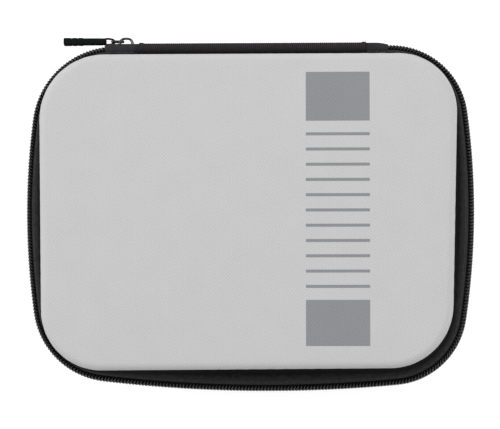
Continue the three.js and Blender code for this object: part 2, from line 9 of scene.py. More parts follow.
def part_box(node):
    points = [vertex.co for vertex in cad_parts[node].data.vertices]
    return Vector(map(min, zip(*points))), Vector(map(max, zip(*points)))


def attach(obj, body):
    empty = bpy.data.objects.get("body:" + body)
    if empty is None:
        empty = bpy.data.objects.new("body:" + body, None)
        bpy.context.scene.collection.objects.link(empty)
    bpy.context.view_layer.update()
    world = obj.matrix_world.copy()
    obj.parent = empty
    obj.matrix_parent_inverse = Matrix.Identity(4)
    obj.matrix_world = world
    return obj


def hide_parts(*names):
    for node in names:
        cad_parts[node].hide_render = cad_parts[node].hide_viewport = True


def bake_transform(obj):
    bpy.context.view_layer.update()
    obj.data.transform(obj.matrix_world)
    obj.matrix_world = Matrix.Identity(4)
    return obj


# Looks of a zipped, moulded carry case. Lengths are millimetres until add_mesh turns them to metres.

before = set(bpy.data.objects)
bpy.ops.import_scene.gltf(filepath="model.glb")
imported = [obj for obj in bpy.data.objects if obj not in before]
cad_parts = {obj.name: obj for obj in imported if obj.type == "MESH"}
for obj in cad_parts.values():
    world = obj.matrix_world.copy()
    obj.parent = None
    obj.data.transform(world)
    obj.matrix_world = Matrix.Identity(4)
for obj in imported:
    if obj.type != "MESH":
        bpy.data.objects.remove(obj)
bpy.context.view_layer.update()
MM = 0.001


def node_box(node):
    """Lowest and highest corner of a CAD node, in millimetres."""
    low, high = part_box(node)
    return np.array(low) / MM, np.array(high) / MM


# ---- driving sizes, from the frame where it has them ----

STRIP_LOW, STRIP_HIGH = node_box("spine_strip")
CROWN_LOW, CROWN_HIGH = node_box("slider_crown")
LINK_LOW, LINK_HIGH = node_box("pull_link")
GRIP_LOW, GRIP_HIGH = node_box("pull_grip")
NET_LOW, NET_HIGH = node_box("mesh_pocket_net")
HEM_LOW, HEM_HIGH = node_box("mesh_pocket_hem")
FOAM_LOW, FOAM_HIGH = node_box("foam_top_layer")

ZIP_PLANE = (STRIP_LOW[2] + STRIP_HIGH[2]) / 2
BACK_Y = node_box("base_zip_coil")[1][1]
FLAP_TOP = node_box("lid_spine_flap")[1][2]

# The zip line: half its width, where it is widest, and the radii of its sides, front and corners.
FRONT_Y = -80.1
HALF_WIDTH = 103.1
WIDEST_Y = 4.0
SIDE_RADIUS = 340.0
FRONT_RADIUS = 644.0
FRONT_PEAK_X = 8.0
BACK_LEFT_RADIUS = 38.5
FRONT_LEFT_RADIUS = 36.8
FRONT_RIGHT_RADIUS = 35.2
BACK_RIGHT_RADIUS = 35.5

# Each corner of the panel: the two edges that it would reach if it were square, and its radius.
PANEL_BACK_Y = 72.85
PANEL_CORNERS = (
    (-95.0, PANEL_BACK_Y, 29.5),
    (-93.9, -71.0, 27.6),
    (92.8, -70.1, 28.8),
    (94.8, PANEL_BACK_Y, 26.5),
)
PANEL_CENTRE = np.array([0.0, 1.0])

# The wall curves in from the zip to the panel and ends in a rounded edge.
EDGE_FILLET = 3.5
COVE_START = 5.0
COVE_INSET = 3.0
COVE_POWER = 2.2
SHELL_RIM = 3.4

# Depths of the layers below the outer surface of the wall.
COVER = 1.0
SHELL_OUT = 1.3
SHELL_IN = 4.3
LINING_OUT = 4.6
LINING_IN = 5.2

COIL_PITCH = 1.5
BASE_CHAIN_START_X = -57.7
CHAIN_END_X = 57.8
LID_CHAIN_START = math.radians(94)
RIB_PITCH = 0.95

CORNER_STEPS = 20
SIDE_STEPS = (26, 44, 26, 34)
BEVEL_STEPS = 3
BEVEL_ANGLE = math.radians(35)

# Each half: its word in names, which way it points, how high its edge is and how far its panel domes.
LID = {"word": "lid", "up": 1, "edge": 26.0, "crown": 1.0}
BASE = {"word": "base", "up": -1, "edge": 27.0, "crown": 0.0}


# ---- outlines ----


def arc(x, y, radius, start, end):
    """Part of a circle between two directions from its centre."""
    return {"x": x, "y": y, "radius": radius, "start": start, "end": end}


def arc_point(curve, t, inset):
    """The point a share t along an arc, moved in toward its centre."""
    angle = curve["start"] + (curve["end"] - curve["start"]) * t
    radius = curve["radius"] - inset
    return np.array([curve["x"] + radius * math.cos(angle), curve["y"] + radius * math.sin(angle)])


def mirrored(curve):
    """The same arc on the other side of the middle plane."""
    return arc(-curve["x"], curve["y"], curve["radius"], math.pi - curve["end"], math.pi - curve["start"])


def direction_angle(origin, target):
    return math.atan2(target[1] - origin[1], target[0] - origin[0]) % (2 * math.pi)


def tangent_corner(side, front, radius):
    """Centre of the left corner circle that touches the side and front circles from inside."""
    side_reach = SIDE_RADIUS - radius
    front_reach = FRONT_RADIUS - radius
    gap = front - side
    apart = np.hypot(*gap)
    along = (side_reach**2 - front_reach**2 + apart**2) / (2 * apart)
    across = math.sqrt(side_reach**2 - along**2)
    unit = gap / apart
    return side + along * unit + across * np.array([-unit[1], unit[0]])


def outline_half(back_radius, front_radius, front_x):
    """Arcs of the left half of a zip line, and where its front arc begins."""
    side = np.array([SIDE_RADIUS - HALF_WIDTH, WIDEST_Y])
    front = np.array([front_x, FRONT_Y + FRONT_RADIUS])
    back_y = BACK_Y - back_radius
    reach = SIDE_RADIUS - back_radius
    back = np.array([side[0] - math.sqrt(reach**2 - (back_y - WIDEST_Y) ** 2), back_y])
    corner = tangent_corner(side, front, front_radius)
    back_turn = direction_angle(side, back)
    side_turn = direction_angle(side, corner)
    front_turn = direction_angle(front, corner)
    back_arc = arc(*back, back_radius, math.pi / 2, back_turn)
    side_arc = arc(*side, SIDE_RADIUS, back_turn, side_turn)
    corner_arc = arc(*corner, front_radius, side_turn, front_turn)
    return back_arc, side_arc, corner_arc, front_turn


def zip_outline():
    """Corner and side arcs of the zip line; the back is straight."""
    back, side, corner, start = outline_half(BACK_LEFT_RADIUS, FRONT_LEFT_RADIUS, FRONT_PEAK_X)
    other = outline_half(BACK_RIGHT_RADIUS, FRONT_RIGHT_RADIUS, -FRONT_PEAK_X)
    right_back, right_side, right_corner, end = other
    front = arc(FRONT_PEAK_X, FRONT_Y + FRONT_RADIUS, FRONT_RADIUS, start, 3 * math.pi - end)
    return {
        "corners": [back, corner, mirrored(right_corner), mirrored(right_back)],
        "sides": [side, front, mirrored(right_side), None],
    }


def tangent_turn(circle, following):
    """Direction from either centre to where the two circles' shared outer tangent touches."""
    apart = np.hypot(*(following - circle)[:2])
    turn = direction_angle(circle, following) - math.acos((circle[2] - following[2]) / apart)
    return turn % (2 * math.pi)


def panel_outline():
    """Corner arcs of the panel, joined by straight edges that touch them."""
    circles = [np.array([x - math.copysign(radius, x), y - math.copysign(radius, y), radius])
               for x, y, radius in PANEL_CORNERS]
    turns = [tangent_turn(circle, circles[(index + 1) % 4]) for index, circle in enumerate(circles)]
    corners = []
    for index, circle in enumerate(circles):
        start, end = turns[index - 1], turns[index]
        corners.append(arc(*circle, start, end + 2 * math.pi if end < start else end))
    return {"corners": corners, "sides": [None] * 4}


ZIP = zip_outline()
PANEL = panel_outline()
SLIDER_CENTRE = np.array([ZIP["corners"][0]["x"], ZIP["corners"][0]["y"]])


def outline_ring(outline, inset):
    """One closed ring, anticlockwise from above, starting at the back left corner."""
    ring = []
    for index, corner in enumerate(outline["corners"]):
        ring += [arc_point(corner, k / CORNER_STEPS, inset) for k in range(CORNER_STEPS + 1)]
        side = outline["sides"][index]
        first = arc_point(corner, 1, inset)
        last = arc_point(outline["corners"][(index + 1) % 4], 0, inset)
        for k in range(1, SIDE_STEPS[index]):
            t = k / SIDE_STEPS[index]
            ring.append(arc_point(side, t, inset) if side else first + (last - first) * t)
    return np.array(ring)


RING_SIZE = len(outline_ring(ZIP, 0))
LEFT_SIDE_FRONT = CORNER_STEPS + SIDE_STEPS[0]
CHAIN_LAST = RING_SIZE - SIDE_STEPS[3]
RIGHT_SIDE_FRONT = CHAIN_LAST - LEFT_SIDE_FRONT


def lift(half, height):
    """World height of a point this far from the zip plane on one half."""
    return ZIP_PLANE + half["up"] * height


def at(ring, z):
    """A flat outline at one height."""
    return np.column_stack([ring, np.full(len(ring), z)])


def circle(count):
    """Evenly spaced directions all round, as cosines and sines."""
    angles = np.arange(count) * 2 * math.pi / count
    return np.cos(angles), np.sin(angles)


def zip_ring(half, inset, height):
    """The zip line, moved in and up from the zip plane."""
    return at(outline_ring(ZIP, inset), lift(half, height))


def seam_height(half):
    return half["edge"] - EDGE_FILLET


def cove_blend(half, height):
    """How far the wall has moved from the zip's outline to the panel's."""
    t = np.clip((height - COVE_START) / (seam_height(half) - COVE_START), 0, 1)
    return 1 - (1 - t) ** COVE_POWER


def wall_outline(half, depth, height):
    foot = outline_ring(ZIP, COVE_INSET + depth)
    return foot + (outline_ring(PANEL, depth) - foot) * cove_blend(half, height)


def wall_ring(half, depth, height):
    return at(wall_outline(half, depth, height), lift(half, height))


def edge_ring(half, depth, degrees):
    """A ring on the rounded edge: 0 degrees at the wall, 90 at the panel."""
    turn = math.radians(degrees)
    inset = depth + EDGE_FILLET * (1 - math.cos(turn))
    height = half["edge"] - depth - EDGE_FILLET * (1 - math.sin(turn))
    return at(outline_ring(PANEL, inset), lift(half, height))


def panel_ring(half, depth, scale):
    """A smaller copy of the panel's outline, on its slight dome."""
    ring = (outline_ring(PANEL, depth + EDGE_FILLET) - PANEL_CENTRE) * scale + PANEL_CENTRE
    return at(ring, lift(half, half["edge"] - depth + half["crown"] * (1 - scale**2)))


# ---- meshes ----


def new_object(name, data):
    """An object in the scene that shows this mesh, curve, lamp or camera."""
    made = bpy.data.objects.new(name, data)
    bpy.context.scene.collection.objects.link(made)
    return made


def face_outward(mesh, merge=0.0):
    """Turns every face outward; points closer than merge millimetres become one first."""
    work = bmesh.new()
    work.from_mesh(mesh)
    if merge:
        bmesh.ops.remove_doubles(work, verts=work.verts, dist=merge * MM)
    bmesh.ops.recalc_face_normals(work, faces=work.faces)
    work.to_mesh(mesh)
    work.free()


def add_mesh(name, points, faces, body, look, nodes=(), corners=None):
    """A closed mesh in millimetres becomes a piece that rides on a body."""
    mesh = bpy.data.meshes.new(name)
    mesh.from_pydata((np.asarray(points) * MM).tolist(), [], [tuple(f) for f in faces])
    if corners is not None:
        layer = mesh.uv_layers.new(name="cloth")
        layer.data.foreach_set("uv", (np.asarray(corners, np.float32) * MM).ravel())
    face_outward(mesh)
    mesh.shade_smooth()
    mesh.materials.append(look.material)
    piece = new_object(name, mesh)
    if body:
        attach(piece, body)
    if nodes:
        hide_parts(*nodes)
    return piece


def unit(rows):
    """Each row at length 1."""
    return rows / np.linalg.norm(rows, axis=1)[:, None]


def outward_of(along):
    """The flat direction to the right of each direction of travel."""
    return np.column_stack([along[:, 1], -along[:, 0]])


def steps_along(points, closed):
    """Distance along a line of points, with one more entry where it closes."""
    following = np.roll(points, -1, 0) if closed else points[1:]
    lengths = np.linalg.norm(following - (points if closed else points[:-1]), axis=1)
    return np.concatenate([[0], np.cumsum(lengths)])


def surface(rings, around=True, across=True, plan=False):
    """Points, faces and cloth coordinates of a grid of rings."""
    rings = np.asarray(rings)
    rows, columns = rings.shape[:2]
    u = steps_along(rings[0], around)
    v = steps_along(rings[:, 0], across)
    faces = []
    corners = []
    for i in range(rows if across else rows - 1):
        below = (i + 1) % rows
        for j in range(columns if around else columns - 1):
            beside = (j + 1) % columns
            row, next_row = i * columns, below * columns
            quad = (row + j, row + beside, next_row + beside, next_row + j)
            faces.append(quad)
            if plan:
                corners += [rings.reshape(-1, 3)[k, :2] for k in quad]
            else:
                corners += [(u[j], v[i]), (u[j + 1], v[i]), (u[j + 1], v[i + 1]), (u[j], v[i + 1])]
    return rings.reshape(-1, 3), faces, corners


def cap_ends(rings, faces, corners, around):
    """Adds the faces that close a grid at its first and last ring, or first and last column."""
    rows, columns = rings.shape[:2]
    if around:
        ends = [range(columns), range((rows - 1) * columns, rows * columns)]
    else:
        ends = [range(0, rows * columns, columns), range(columns - 1, rows * columns, columns)]
    flat = rings.reshape(-1, 3)
    for end in ends:
        faces.append(tuple(end))
        corners += [flat[k, :2] for k in end]


def hoop(name, rings, body, look, nodes=()):
    """A ring-shaped band whose section closes on itself."""
    points, faces, corners = surface(rings)
    return add_mesh(name, points, faces, body, look, nodes, corners)


def dish(name, rings, body, look, nodes=(), plan=False):
    """Rings with both ends closed by a small flat face: a tray, panel or block."""
    rings = np.asarray(rings)
    points, faces, corners = surface(rings, True, False, plan)
    cap_ends(rings, faces, corners, True)
    return add_mesh(name, points, faces, body, look, nodes, corners)


def strip(name, rails, body, look, nodes=()):
    """Rails side by side with both ends closed: a band that starts and stops."""
    rails = np.asarray(rails)
    points, faces, corners = surface(rails, False, True)
    cap_ends(rails, faces, corners, False)
    return add_mesh(name, points, faces, body, look, nodes, corners)


def tube_rings(line, radius, sides, guide):
    """Circles round a line; guide is a direction at each point that the first side faces."""
    line = np.asarray(line, float)
    along = unit(np.gradient(line, axis=0))
    guide = np.broadcast_to(np.asarray(guide, float), line.shape)
    first = unit(guide - along * (guide * along).sum(1)[:, None])
    second = np.cross(along, first)
    cos, sin = circle(sides)
    spokes = first[:, None] * cos[None, :, None] + second[:, None] * sin[None, :, None]
    return line[:, None] + spokes * radius


def tube(name, line, radius, sides, guide, body, look, nodes=()):
    return dish(name, tube_rings(line, radius, sides, guide), body, look, nodes)


def merged_tubes(lines, radius, sides, guide):
    """Points, faces and cloth coordinates of many separate short tubes."""
    points, faces, corners = [], [], []
    offset = 0
    for line in lines:
        rings = tube_rings(line, radius, sides, guide)
        some, quads, uv = surface(rings, True, False)
        cap_ends(rings, quads, uv, True)
        points.append(some)
        faces += [tuple(k + offset for k in quad) for quad in quads]
        corners += uv
        offset += len(some)
    return np.concatenate(points), faces, corners


def bevel(piece, width):
    """Rounds the sharp edges of a piece."""
    modifier = piece.modifiers.new("bevel", "BEVEL")
    modifier.width = width * MM
    modifier.segments = BEVEL_STEPS
    modifier.limit_method = "ANGLE"
    modifier.angle_limit = BEVEL_ANGLE


# ---- materials ----

class Shader:
    """A Principled material with short helpers for its nodes."""

    def __init__(self, name, slot, color, roughness, **sockets):
        self.material = bpy.data.materials.new(name)
        self.material.use_nodes = True
        self.tree = self.material.node_tree
        self.surface = self.tree.nodes["Principled BSDF"]
        self.surface.inputs["Base Color"].default_value = (*color, 1)
        self.surface.inputs["Roughness"].default_value = roughness
        for socket, value in sockets.items():
            self.surface.inputs[socket.replace("_", " ")].default_value = value
        self.slot = slot

    def node(self, kind, **settings):
        made = self.tree.nodes.new(kind)
        for key, value in settings.items():
            setattr(made, key, value)
        return made

    def put(self, socket, value):
        if isinstance(value, bpy.types.NodeSocket):
            self.tree.links.new(value, socket)
        else:
            socket.default_value = value

    def paint(self, color):
        self.put(self.surface.inputs["Base Color"], color)

    def roughen(self, value):
        self.put(self.surface.inputs["Roughness"], value)

    def math(self, operation, a, b=0.0, c=0.0):
        made = self.node("ShaderNodeMath", operation=operation)
        for socket, value in zip(made.inputs, (a, b, c)):
            self.put(socket, value)
        return made.outputs[0]

    def times(self, a, b):
        return self.math("MULTIPLY", a, b)

    def cloth(self):
        """The piece's own cloth coordinates, in metres: along it and across it."""
        made = self.node("ShaderNodeUVMap", uv_map="cloth")
        split = self.node("ShaderNodeSeparateXYZ")
        self.put(split.inputs[0], made.outputs[0])
        return made.outputs[0], split.outputs[0], split.outputs[1]

    def place(self):
        """Where a point is on its own piece, in metres."""
        return self.node("ShaderNodeTexCoord").outputs["Object"]

    def noise(self, vector, size, detail=2.0, roughness=0.5):
        """Noise from 0 to 1 with features of about size millimetres."""
        made = self.node("ShaderNodeTexNoise")
        self.put(made.inputs["Vector"], vector)
        made.inputs["Scale"].default_value = 1 / (size * MM)
        made.inputs["Detail"].default_value = detail
        made.inputs["Roughness"].default_value = roughness
        return made.outputs["Fac"]

    def mix(self, factor, a, b):
        made = self.node("ShaderNodeMix", data_type="RGBA")
        self.put(made.inputs["Factor"], factor)
        self.put(made.inputs["A"], (*a, 1) if isinstance(a, tuple) else a)
        self.put(made.inputs["B"], (*b, 1) if isinstance(b, tuple) else b)
        return made.outputs["Result"]

    def ramp(self, value, low, high, out_low=0.0, out_high=1.0):
        made = self.node("ShaderNodeMapRange")
        for socket, number in zip(made.inputs, (value, low, high, out_low, out_high)):
            self.put(socket, number)
        return made.outputs[0]

    def bump(self, height, distance, strength=1.0, under=None):
        made = self.node("ShaderNodeBump")
        made.inputs["Distance"].default_value = distance * MM
        made.inputs["Strength"].default_value = strength
        self.put(made.inputs["Height"], height)
        if under is not None:
            self.put(made.inputs["Normal"], under)
        self.put(self.surface.inputs["Normal"], made.outputs[0])
        return made.outputs[0]

    def weave(self, u, v, pitch, across=None):
        """Plain weave: height of the top thread, and how much the lengthwise thread is on top."""
        a = self.math("DIVIDE", u, pitch * MM)
        b = self.math("DIVIDE", v, (across or pitch) * MM)
        heights = []
        for one, other, shift in ((a, b, 0.0), (b, a, 1.0)):
            profile = self.math("ABSOLUTE", self.math("SINE", self.times(one, math.pi)))
            thread = self.math("FLOOR", one)
            phase = self.math("ADD", self.math("ADD", other, thread), shift - 0.5)
            wave = self.math("COSINE", self.times(phase, math.pi))
            rise = self.math("MULTIPLY_ADD", wave, 0.4, 0.6)
            heights.append(self.times(profile, rise))
        top = self.math("MAXIMUM", *heights)
        lead = self.math("GREATER_THAN", *heights)
        return top, lead


def shade_of(color, factor):
    return tuple(part * factor for part in color)


def woven(name, slot, color, pitch, roughness=0.85, depth=0.12, gap_shade=0.35, gloss=0.0, across=None,
          uneven=0.06, painted_light_and_shade=None, reach=(5.5, 19), ribs=0.0):
    """A woven fabric of crossing threads, with painted shade in the dips between them. Where it has
    painted light and shade by height, that is how bright it is at the two distances of reach from
    the zip plane: painted light near the zip and painted shade toward the panel. ribs is the strength
    of its painted stripes of light and shade across the ribs."""
    made = Shader(name, slot, color, roughness, Specular_IOR_Level=gloss)
    vector, u, v = made.cloth()
    top, lead = made.weave(u, v, pitch, across)
    cloudy = made.noise(vector, 14, 3)
    fine = made.noise(vector, 0.7, 2)
    # Painted shade: the colour is darker in the dips between the threads.
    shade = made.ramp(top, 0.1, 0.9, 1 - gap_shade, 1.0)
    shade = made.times(shade, made.ramp(cloudy, 0.2, 0.8, 1 - uneven, 1 + uneven))
    shade = made.times(shade, made.ramp(fine, 0.2, 0.8, 0.93, 1.07))
    shade = made.times(shade, made.ramp(lead, 0, 1, 0.96, 1.04))
    # Painted light and shade by height from the zip plane: brighter near the zip, darker up toward the panel
    # where the wall lies in shade; noise makes the edge between them uneven.
    if painted_light_and_shade:
        split = made.node("ShaderNodeSeparateXYZ")
        made.put(split.inputs[0], made.place())
        height = made.math("ABSOLUTE", made.math("SUBTRACT", split.outputs[2], ZIP_PLANE * MM))
        shade_edge_noise = made.times(made.noise(vector, 3.2, 4, 0.7), 9 * MM)
        height = made.math("ADD", height, made.math("SUBTRACT", shade_edge_noise, 4.5 * MM))
        shade = made.times(shade, made.ramp(height, *(edge * MM for edge in reach), *painted_light_and_shade))
    # Painted light and shade: lighter and darker stripes across the ribs.
    if ribs:
        wave = made.math("SINE", made.times(u, 2 * math.pi / (pitch * MM)))
        shade = made.times(shade, made.math("MULTIPLY_ADD", wave, ribs, 1.0))
    scaled = made.node("ShaderNodeVectorMath", operation="SCALE")
    scaled.inputs[0].default_value = color
    made.put(scaled.inputs["Scale"], shade)
    made.paint(scaled.outputs[0])
    made.roughen(made.ramp(fine, 0, 1, roughness - 0.06, roughness + 0.06))
    broad = made.bump(made.noise(vector, 5, 3), 0.12, 0.35)
    made.bump(top, depth, 0.9, broad)
    return made


# The print on the lid: a block at each end and thin bars between them.
PRINT_LEFT = 26.3
PRINT_RIGHT = 55.2
PRINT_TOP_BLOCK = (41.7, 64.0)
PRINT_BOTTOM_BLOCK = (-60.1, -39.3)
PRINT_FIRST_BAR = 35.75
PRINT_BAR_PITCH = 6.9
PRINT_BAR_HEIGHT = 1.4
PRINT_LAST_BAR = -33.25
PRINT_INK = (0.455, 0.46, 0.49)
PANEL_WEAVE = 0.85
PRINT_SOFT_EDGE = 0.08


def between(made, value, low, high):
    """1 inside a range of millimetres, with a short soft edge."""
    soft = PRINT_SOFT_EDGE
    rise = made.ramp(value, (low - soft) * MM, (low + soft) * MM)
    fall = made.ramp(value, (high - soft) * MM, (high + soft) * MM, 1.0, 0.0)
    return made.times(rise, fall)


def panel_material():
    """Pale woven nylon with a printed pattern of two blocks and the bars between them."""
    made = woven("light_grey_panel", "panel_nylon", (0.490, 0.490, 0.492), PANEL_WEAVE,
                 depth=0.02, gap_shade=0.04, gloss=0.05, uneven=0.02)
    cloth_color = made.surface.inputs["Base Color"].links[0].from_socket
    vector, u, v = made.cloth()
    wide = between(made, u, PRINT_LEFT, PRINT_RIGHT)
    blocks = made.math("MAXIMUM", between(made, v, *PRINT_TOP_BLOCK), between(made, v, *PRINT_BOTTOM_BLOCK))
    half = PRINT_BAR_HEIGHT / 2
    soft = PRINT_SOFT_EDGE
    span = between(made, v, PRINT_LAST_BAR - half - 0.5, PRINT_FIRST_BAR + half + 0.5)
    steps = made.math("DIVIDE", made.math("SUBTRACT", v, PRINT_FIRST_BAR * MM), PRINT_BAR_PITCH * MM)
    away = made.math("ABSOLUTE", made.math("SUBTRACT", steps, made.math("ROUND", steps)))
    away = made.times(away, PRINT_BAR_PITCH * MM)
    bars = made.times(made.ramp(away, (half - soft) * MM, (half + soft) * MM, 1.0, 0.0), span)
    ink = made.times(wide, made.math("MAXIMUM", blocks, bars))
    worn = made.times(ink, made.ramp(made.noise(vector, 0.5, 2), 0.25, 0.6, 0.86, 0.98))
    darker = made.node("ShaderNodeVectorMath", operation="MULTIPLY")
    made.put(darker.inputs[0], cloth_color)
    darker.inputs[1].default_value = PRINT_INK
    made.paint(made.mix(worn, cloth_color, darker.outputs[0]))
    return made


def brushed_knit(name, slot, color):
    """Short-napped knit lining."""
    made = Shader(name, slot, color, 0.95, Sheen_Weight=0.15, Sheen_Roughness=0.5, Specular_IOR_Level=0.15)
    place = made.place()
    nap = made.noise(place, 0.45, 3, 0.7)
    cloudy = made.noise(place, 18, 3)
    blend = made.math("MULTIPLY_ADD", made.math("SUBTRACT", cloudy, 0.5), 0.6, nap)
    made.paint(made.mix(made.ramp(blend, 0.25, 0.75), shade_of(color, 0.65), shade_of(color, 1.4)))
    made.bump(nap, 0.25, 0.6)
    return made


def foam(name, slot, color, pore):
    """Foam with open pores and a cloudy change of tone."""
    made = Shader(name, slot, color, 0.95, Specular_IOR_Level=0.15)
    place = made.place()
    cells = made.node("ShaderNodeTexVoronoi")
    made.put(cells.inputs["Vector"], place)
    cells.inputs["Scale"].default_value = 1 / (pore * MM)
    # Painted shade: the colour is darker inside the pores.
    pits = made.ramp(cells.outputs["Distance"], 0.05, 0.5)
    cloudy = made.noise(place, 9, 3)
    shade = made.times(pits, made.ramp(cloudy, 0.2, 0.8, 0.8, 1.1))
    made.paint(made.mix(shade, shade_of(color, 0.4), color))
    made.bump(pits, 0.3, 0.7)
    return made


def moulded(name, slot, color, roughness, grain, **sockets):
    """Moulded plastic, rubber or drawn nylon with a fine grain and scuffs."""
    made = Shader(name, slot, color, roughness, **sockets)
    place = made.place()
    rough = made.noise(place, grain, 4, 0.6)
    scuffs = made.noise(place, 2.6, 4, 0.7)
    lighter = tuple(min(1.0, c * 1.9 + 0.01) for c in color)
    made.paint(made.mix(made.ramp(scuffs, 0.56, 0.78, 0, 0.8), color, lighter))
    made.roughen(made.ramp(scuffs, 0.3, 0.7, roughness - 0.08, roughness + 0.12))
    made.bump(rough, 0.05, 0.5)
    return made


def worn_metal(name, slot):
    """Black plated zinc that shows brighter metal where it rubs."""
    made = Shader(name, slot, (0.03, 0.029, 0.028), 0.32, Metallic=1.0, Specular_Tint=(0.12, 0.12, 0.12, 1))
    place = made.place()
    geometry = made.node("ShaderNodeNewGeometry")
    rubbed = made.ramp(geometry.outputs["Pointiness"], 0.51, 0.60)
    patches = made.noise(place, 1.1, 4, 0.7)
    worn = made.times(rubbed, made.ramp(patches, 0.35, 0.6))
    made.paint(made.mix(worn, (0.028, 0.027, 0.026), (0.20, 0.19, 0.18)))
    made.roughen(made.ramp(patches, 0.3, 0.7, 0.24, 0.42))
    made.bump(made.noise(place, 0.3, 3), 0.02, 0.4)
    return made


CORD_STRAND = 0.7


def braid(name, slot, color):
    """A round braided cord, crossed by its strands."""
    made = Shader(name, slot, color, 0.8, Specular_IOR_Level=0.2)
    _, u, v = made.cloth()
    turns = 2 * math.pi / (CORD_STRAND * MM)
    one = made.math("SINE", made.times(made.math("ADD", u, v), turns))
    two = made.math("SINE", made.times(made.math("SUBTRACT", u, v), turns))
    strands = made.ramp(made.math("MAXIMUM", one, two), -0.4, 1.0)
    # Painted shade: the colour is darker in the grooves between the strands.
    made.paint(made.mix(strands, shade_of(color, 0.4), color))
    made.bump(strands, 0.12, 0.8)
    return made


PANEL_CLOTH = panel_material()
# The side cloth has painted light near the zip and painted shade up toward the panel.
SIDE_CLOTH = woven("black_side_cloth", "side_nylon", (0.021, 0.0205, 0.022), 0.55, roughness=0.8,
                   depth=0.10, gap_shade=0.45, gloss=0.02, painted_light_and_shade=(1.9, 0.22), reach=(5, 12.5))
UNDERSIDE = woven("black_underside", "underside_nylon", (0.024, 0.024, 0.025), 0.85, roughness=0.8,
                  gap_shade=0.45, gloss=0.03)
TRIM_CLOTH = woven("black_trim", "trim_tape", (0.008, 0.008, 0.0085), 0.4, depth=0.08, gap_shade=0.5)
TAPE_CLOTH = woven("zip_tape_cloth", "zip_tape", (0.008, 0.008, 0.0085), 0.45, roughness=0.9,
                   depth=0.08, gap_shade=0.5, across=0.9)
# The webbing has painted light near the zip, painted shade up toward the panel and painted stripes of light
# and shade across its ribs.
WEBBING = woven("ribbed_webbing", "spine_webbing", (0.030, 0.0275, 0.0295), RIB_PITCH,
                depth=0.08, gap_shade=0.4, across=0.42, painted_light_and_shade=(1.35, 0.40), ribs=0.35)
NET_THREAD = woven("net_thread", "pocket_net", (0.030, 0.030, 0.032), 0.3, roughness=0.75,
                   depth=0.04, gap_shade=0.4, gloss=0.1)
ELASTIC = woven("pocket_elastic_cloth", "pocket_elastic", (0.014, 0.014, 0.015), 0.6, roughness=0.8,
                depth=0.10, gap_shade=0.5, gloss=0.05, across=1.2)
KNIT = brushed_knit("charcoal_knit", "tricot_lining", (0.030, 0.031, 0.034))
SHELL_FOAM = foam("shell_foam", "eva_foam", (0.030, 0.030, 0.033), 0.35)
INSERT_FOAM = foam("insert_foam_dark", "insert_foam", (0.040, 0.042, 0.047), 0.55)
COIL_NYLON = moulded("coil_nylon", "zip_coil", (0.034, 0.032, 0.033), 0.24, 0.2, Specular_IOR_Level=0.6)
STITCHING = moulded("stitch_thread", "trim_tape", (0.022, 0.0215, 0.022), 0.6, 0.15)
COIL_THREAD = moulded("coil_thread", "zip_coil", (0.060, 0.058, 0.060), 0.6, 0.15)
DARK_METAL = worn_metal("dark_metal_worn", "dark_metal")
GRIP_RUBBER = moulded("grip_rubber", "pull_rubber", (0.006, 0.0085, 0.0075), 0.8, 0.35,
                      Specular_IOR_Level=0.05)
CORD_BRAID = braid("cord_braid", "pull_cord", (0.014, 0.014, 0.0145))


# ---- the two halves ----


def on_half(shape, half, suffix, rings, look, node="", **more):
    """A piece named after its half, that stands for the same half's node."""
    word = half["word"] + "_"
    return shape(word + suffix, rings, half["word"], look, [word + node] if node else [], **more)


# Sections of the bands that go all the way round. In HEM_SECTION a point is a depth below the
# wall and a height from the zip plane; in the others it is an inset from the zip line and a height.
HEM_SECTION = ((0.95, 6.2), (0.95, 5.2), (0.75, 4.7), (0.4, 4.45), (0.05, 4.6), (-0.12, 5.1),
               (-0.08, 5.8), (0, 6.6))
BINDING_SECTION = ((6.0, 1.2), (5.95, 2.2), (6.3, 2.9), (7.1, 3.1), (7.9, 2.8), (8.15, 2.0),
                   (7.95, 1.2), (7.1, 0.85), (6.3, 0.9))
PIPING_RADIUS = 0.6
PIPING_INSET = 0.35
STITCH_LENGTH = 2.3
STITCH_GAP = 0.9
STITCH_RADIUS = 0.16
SHELL_HEIGHTS = (SHELL_RIM, 4.4, 6, 8, 10, 12, 14, 16, 17.4)


def ripple(ring, amount, wavelength, phase=0.0):
    """Pushes a ring in and out along its own normal, a little unevenly."""
    flat = ring[:, :2]
    outward = outward_of(unit(np.roll(flat, -1, 0) - np.roll(flat, 1, 0)))
    distance = steps_along(flat, True)[:-1]
    total = steps_along(flat, True)[-1]
    waves = round(total / wavelength)
    turn = 2 * math.pi * distance / total
    push = np.sin(waves * turn + phase) * (0.6 + 0.4 * np.sin(5 * turn + 2 * phase))
    moved = ring.copy()
    moved[:, :2] += outward * (amount * push)[:, None]
    return moved


def side_fabric(half):
    """Black wall: a rolled hem over the zip tape, a cove, and a tuck under the piping."""
    top = seam_height(half) - 0.3
    rings = [wall_ring(half, depth, height) for depth, height in HEM_SECTION]
    heights = np.linspace(7.6, top - 1.2, 12)
    for height in heights:
        share = (height - heights[0]) / (heights[-1] - heights[0])
        ring = wall_ring(half, 0, height)
        ring = ripple(ring, 0.10 * math.sin(math.pi * share), 37, half["up"])
        rings.append(ripple(ring, 0.07 * share**2, 6.5, 1.0))
    rings += [wall_ring(half, 0.2, top - 0.4), wall_ring(half, 0.7, top)]
    rings += [wall_ring(half, COVER, height) for height in np.linspace(top - 0.8, 7.2, 5)]
    on_half(hoop, half, "side_cloth", rings, SIDE_CLOTH, "side_fabric")


